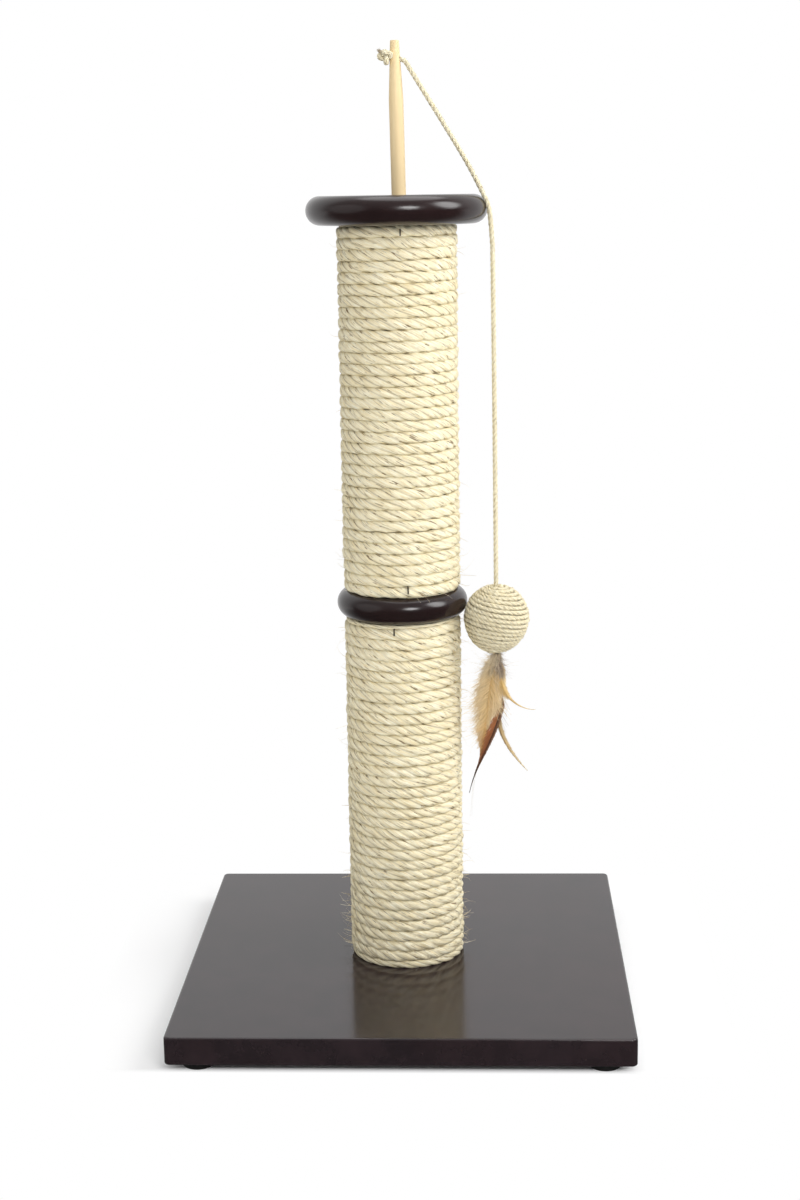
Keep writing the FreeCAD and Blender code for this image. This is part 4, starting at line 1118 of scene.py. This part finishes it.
def dress_nodes():
    """Give each CAD node's material slots the finish of its record's slot."""
    flat_lacquer = espresso_lacquer("espresso lacquer on the board", 0.1, (31, 24, 27), (42, 32, 35))
    turned_lacquer = espresso_lacquer("espresso lacquer on the discs", 0.17, (24, 12, 12), (32, 18, 17))
    finishes = {
        "espresso_lacquer": flat_lacquer,
        "foot_rubber": mottled(
            "foot rubber", (20, 20, 20), (38, 37, 36), scale=900.0, detail=3.0, haze=0.6,
            spread=0.2, relief=0.0001, strength=0.4, IOR=1.45,
        ),
        "zinc_steel": mottled(
            "zinc steel", (186, 186, 180), (214, 210, 196), scale=160.0, detail=4.0, haze=0.28,
            spread=0.2, relief=0.00005, strength=0.3, Metallic=1.0,
        ),
        "dark_steel": dark_steel(),
        "core_cardboard": core_cardboard(),
        "plug_wood": pale_wood("plug wood", (206, 176, 128), (184, 150, 102), (140, 104, 62)),
        "stick_wood": pale_wood("stick wood", (236, 214, 170), (230, 204, 156), (216, 184, 134)),
        "ball_plastic": mottled(
            "ball plastic", (206, 200, 182), (226, 222, 206), scale=90.0, detail=3.0, haze=0.42,
            spread=0.15, relief=0.00005, strength=0.3, IOR=1.49,
        ),
        "sisal_rope": SISAL_ROPE,
        "sisal_twine": SISAL_TWINE,
    }
    slots = {part["node"]: part["material_slot"] for part in frame["record"]["subparts"]}
    for name, node in frame["nodes"].items():
        turned = name in ("middle_ring", "top_disc")
        wanted = turned_lacquer if turned else finishes.get(slots.get(name))
        if wanted is None:
            continue
        for slot in node.material_slots:
            slot.material = wanted


# --- Studio ---

FLOOR_REACH = 9.0
FLOOR_FADE = (0.19, 0.29)
FRONT_FADE = (0.182, 0.192)
SKY_STRENGTH = 0.5


def ray_kinds(tree, *kinds):
    """For each kind of ray, a value that is 1 in rays of that kind."""
    return [add_node(tree, "LightPath", out=f"Is {kind} Ray") for kind in kinds]


def parts_of(tree, coordinate, *axes):
    """The parts of a texture coordinate along these axes."""
    place = add_node(tree, "TexCoord", out=coordinate)
    return [add_node(tree, "SeparateXYZ", values={0: place}, out=axis) for axis in axes]


def studio_floor():
    """A pale floor that keeps the contact shadow and fades to the white background away from the base.

    In glossy rays it is white behind the base and dim in front of it, as the rest of the studio is.
    """
    points = np.array([(-1, -1, 0), (1, -1, 0), (1, 1, 0), (-1, 1, 0)]) * FLOOR_REACH
    finish = Finish("studio floor", Roughness=0.9, Specular_IOR_Level=0.1)
    finish.colour((244, 244, 244))
    corners = np.array([[0, 1, 2, 3]])
    floor = finished_piece("studio_floor", points, [corners], finish.material, smooth=False)
    tree = finish.tree
    seen, glossy = ray_kinds(tree, "Camera", "Glossy")
    across, deep = parts_of(tree, "Object", "X", "Y")
    fade = across.maths("ABSOLUTE", across).at_least(deep).above(*FLOOR_FADE)
    fade = fade.at_least((deep * -1.0).above(*FRONT_FADE))
    strength = seen.at_least(0.1 + 0.9 * deep.above(0.0, 0.6))
    white = add_node(tree, "Emission", values={"Strength": strength})
    share = fade * seen + glossy * (1.0 - seen)
    lit = Link(tree, finish.shader.outputs[0])
    blend = add_node(tree, "MixShader", values={0: share, 1: lit, 2: white})
    plug(tree, tree.nodes["Material Output"].inputs["Surface"], blend)


def area_lamp(name, place, target, size, watts):
    """A soft oval lamp turned towards a point, both in metres."""
    data = bpy.data.lights.new(name, "AREA")
    data.shape = "ELLIPSE"
    data.size, data.size_y = size
    data.energy = watts
    lamp = bpy.data.objects.new(name, data)
    back = unit(np.array(place, float) - np.array(target, float))
    right = unit(np.cross((0.0, 0.0, 1.0), back))
    lamp.matrix_world = facing(right, np.cross(back, right), back, place)
    bpy.context.scene.collection.objects.link(lamp)


def studio_light():
    """A white background behind, a dim studio in front, a soft sky for the rest, and four soft lamps.

    Camera and clear rays see white. Glossy rays see white behind the object, and in front a studio that is
    dark near the floor and half bright overhead, as the lacquer shows it.
    """
    world = bpy.data.worlds.new("studio")
    bpy.context.scene.world = world
    world.use_nodes = True
    tree = world.node_tree
    background = tree.nodes["Background"]
    background.inputs["Color"].default_value = (1.0, 1.0, 1.0, 1.0)
    seen, glossy, clear = ray_kinds(tree, "Camera", "Glossy", "Transmission")
    back, up = parts_of(tree, "Generated", "Y", "Z")
    mirrored = back.above(-0.1, 0.35).at_least(0.12 + up.above(0.1, 0.9) * 0.4)
    white = seen.at_least(clear)
    rest = (1.0 - white) * (1.0 - glossy) * SKY_STRENGTH
    plug(tree, background.inputs["Strength"], white + glossy * (1.0 - white) * mirrored + rest)
    area_lamp("key_lamp", (1.42, -0.4, 1.45), (0, 0, 0.45), (0.9, 1.2), 19)
    area_lamp("front_lamp", (0.7, -2.1, 1.45), (0, 0, 0.4), (0.9, 0.7), 21)
    area_lamp("fill_lamp", (-1.8, -0.9, 1.1), (0, 0, 0.4), (2.0, 2.0), 5)
    area_lamp("top_lamp", (0.1, 0.3, 2.4), (0, 0, 0.4), (1.6, 1.6), 16)


# --- The post and its toy ---

SISAL_ROPE = sisal(
    "sisal rope", (253, 248, 224), (236, 220, 176), (114, 88, 48),
    fibre_scale=70.0, crease_shade_share=0.55, gap_from=0.5, seam_from=0.86,
)
SISAL_TWINE = sisal(
    "sisal twine", (254, 249, 226), (238, 222, 178), (122, 95, 54),
    fibre_scale=160.0, crease_shade_share=0.4, gap_from=0.44, seam_from=0.83,
)
HAIRS = fibre_hairs()

add_camera()
toy_cord(SISAL_TWINE)
dress_nodes()
wound_rope("lower", LOWER_SECTION, SISAL_ROPE, HAIRS, 31)
wound_rope("upper", UPPER_SECTION, SISAL_ROPE, HAIRS, 32)
ring_fibres(HAIRS)
wound_ball(SISAL_TWINE, HAIRS)
lashing(SISAL_TWINE, binding_thread())
feather_bunch()
studio_floor()
studio_light()
bpy.context.scene.view_settings.view_transform = "Standard"
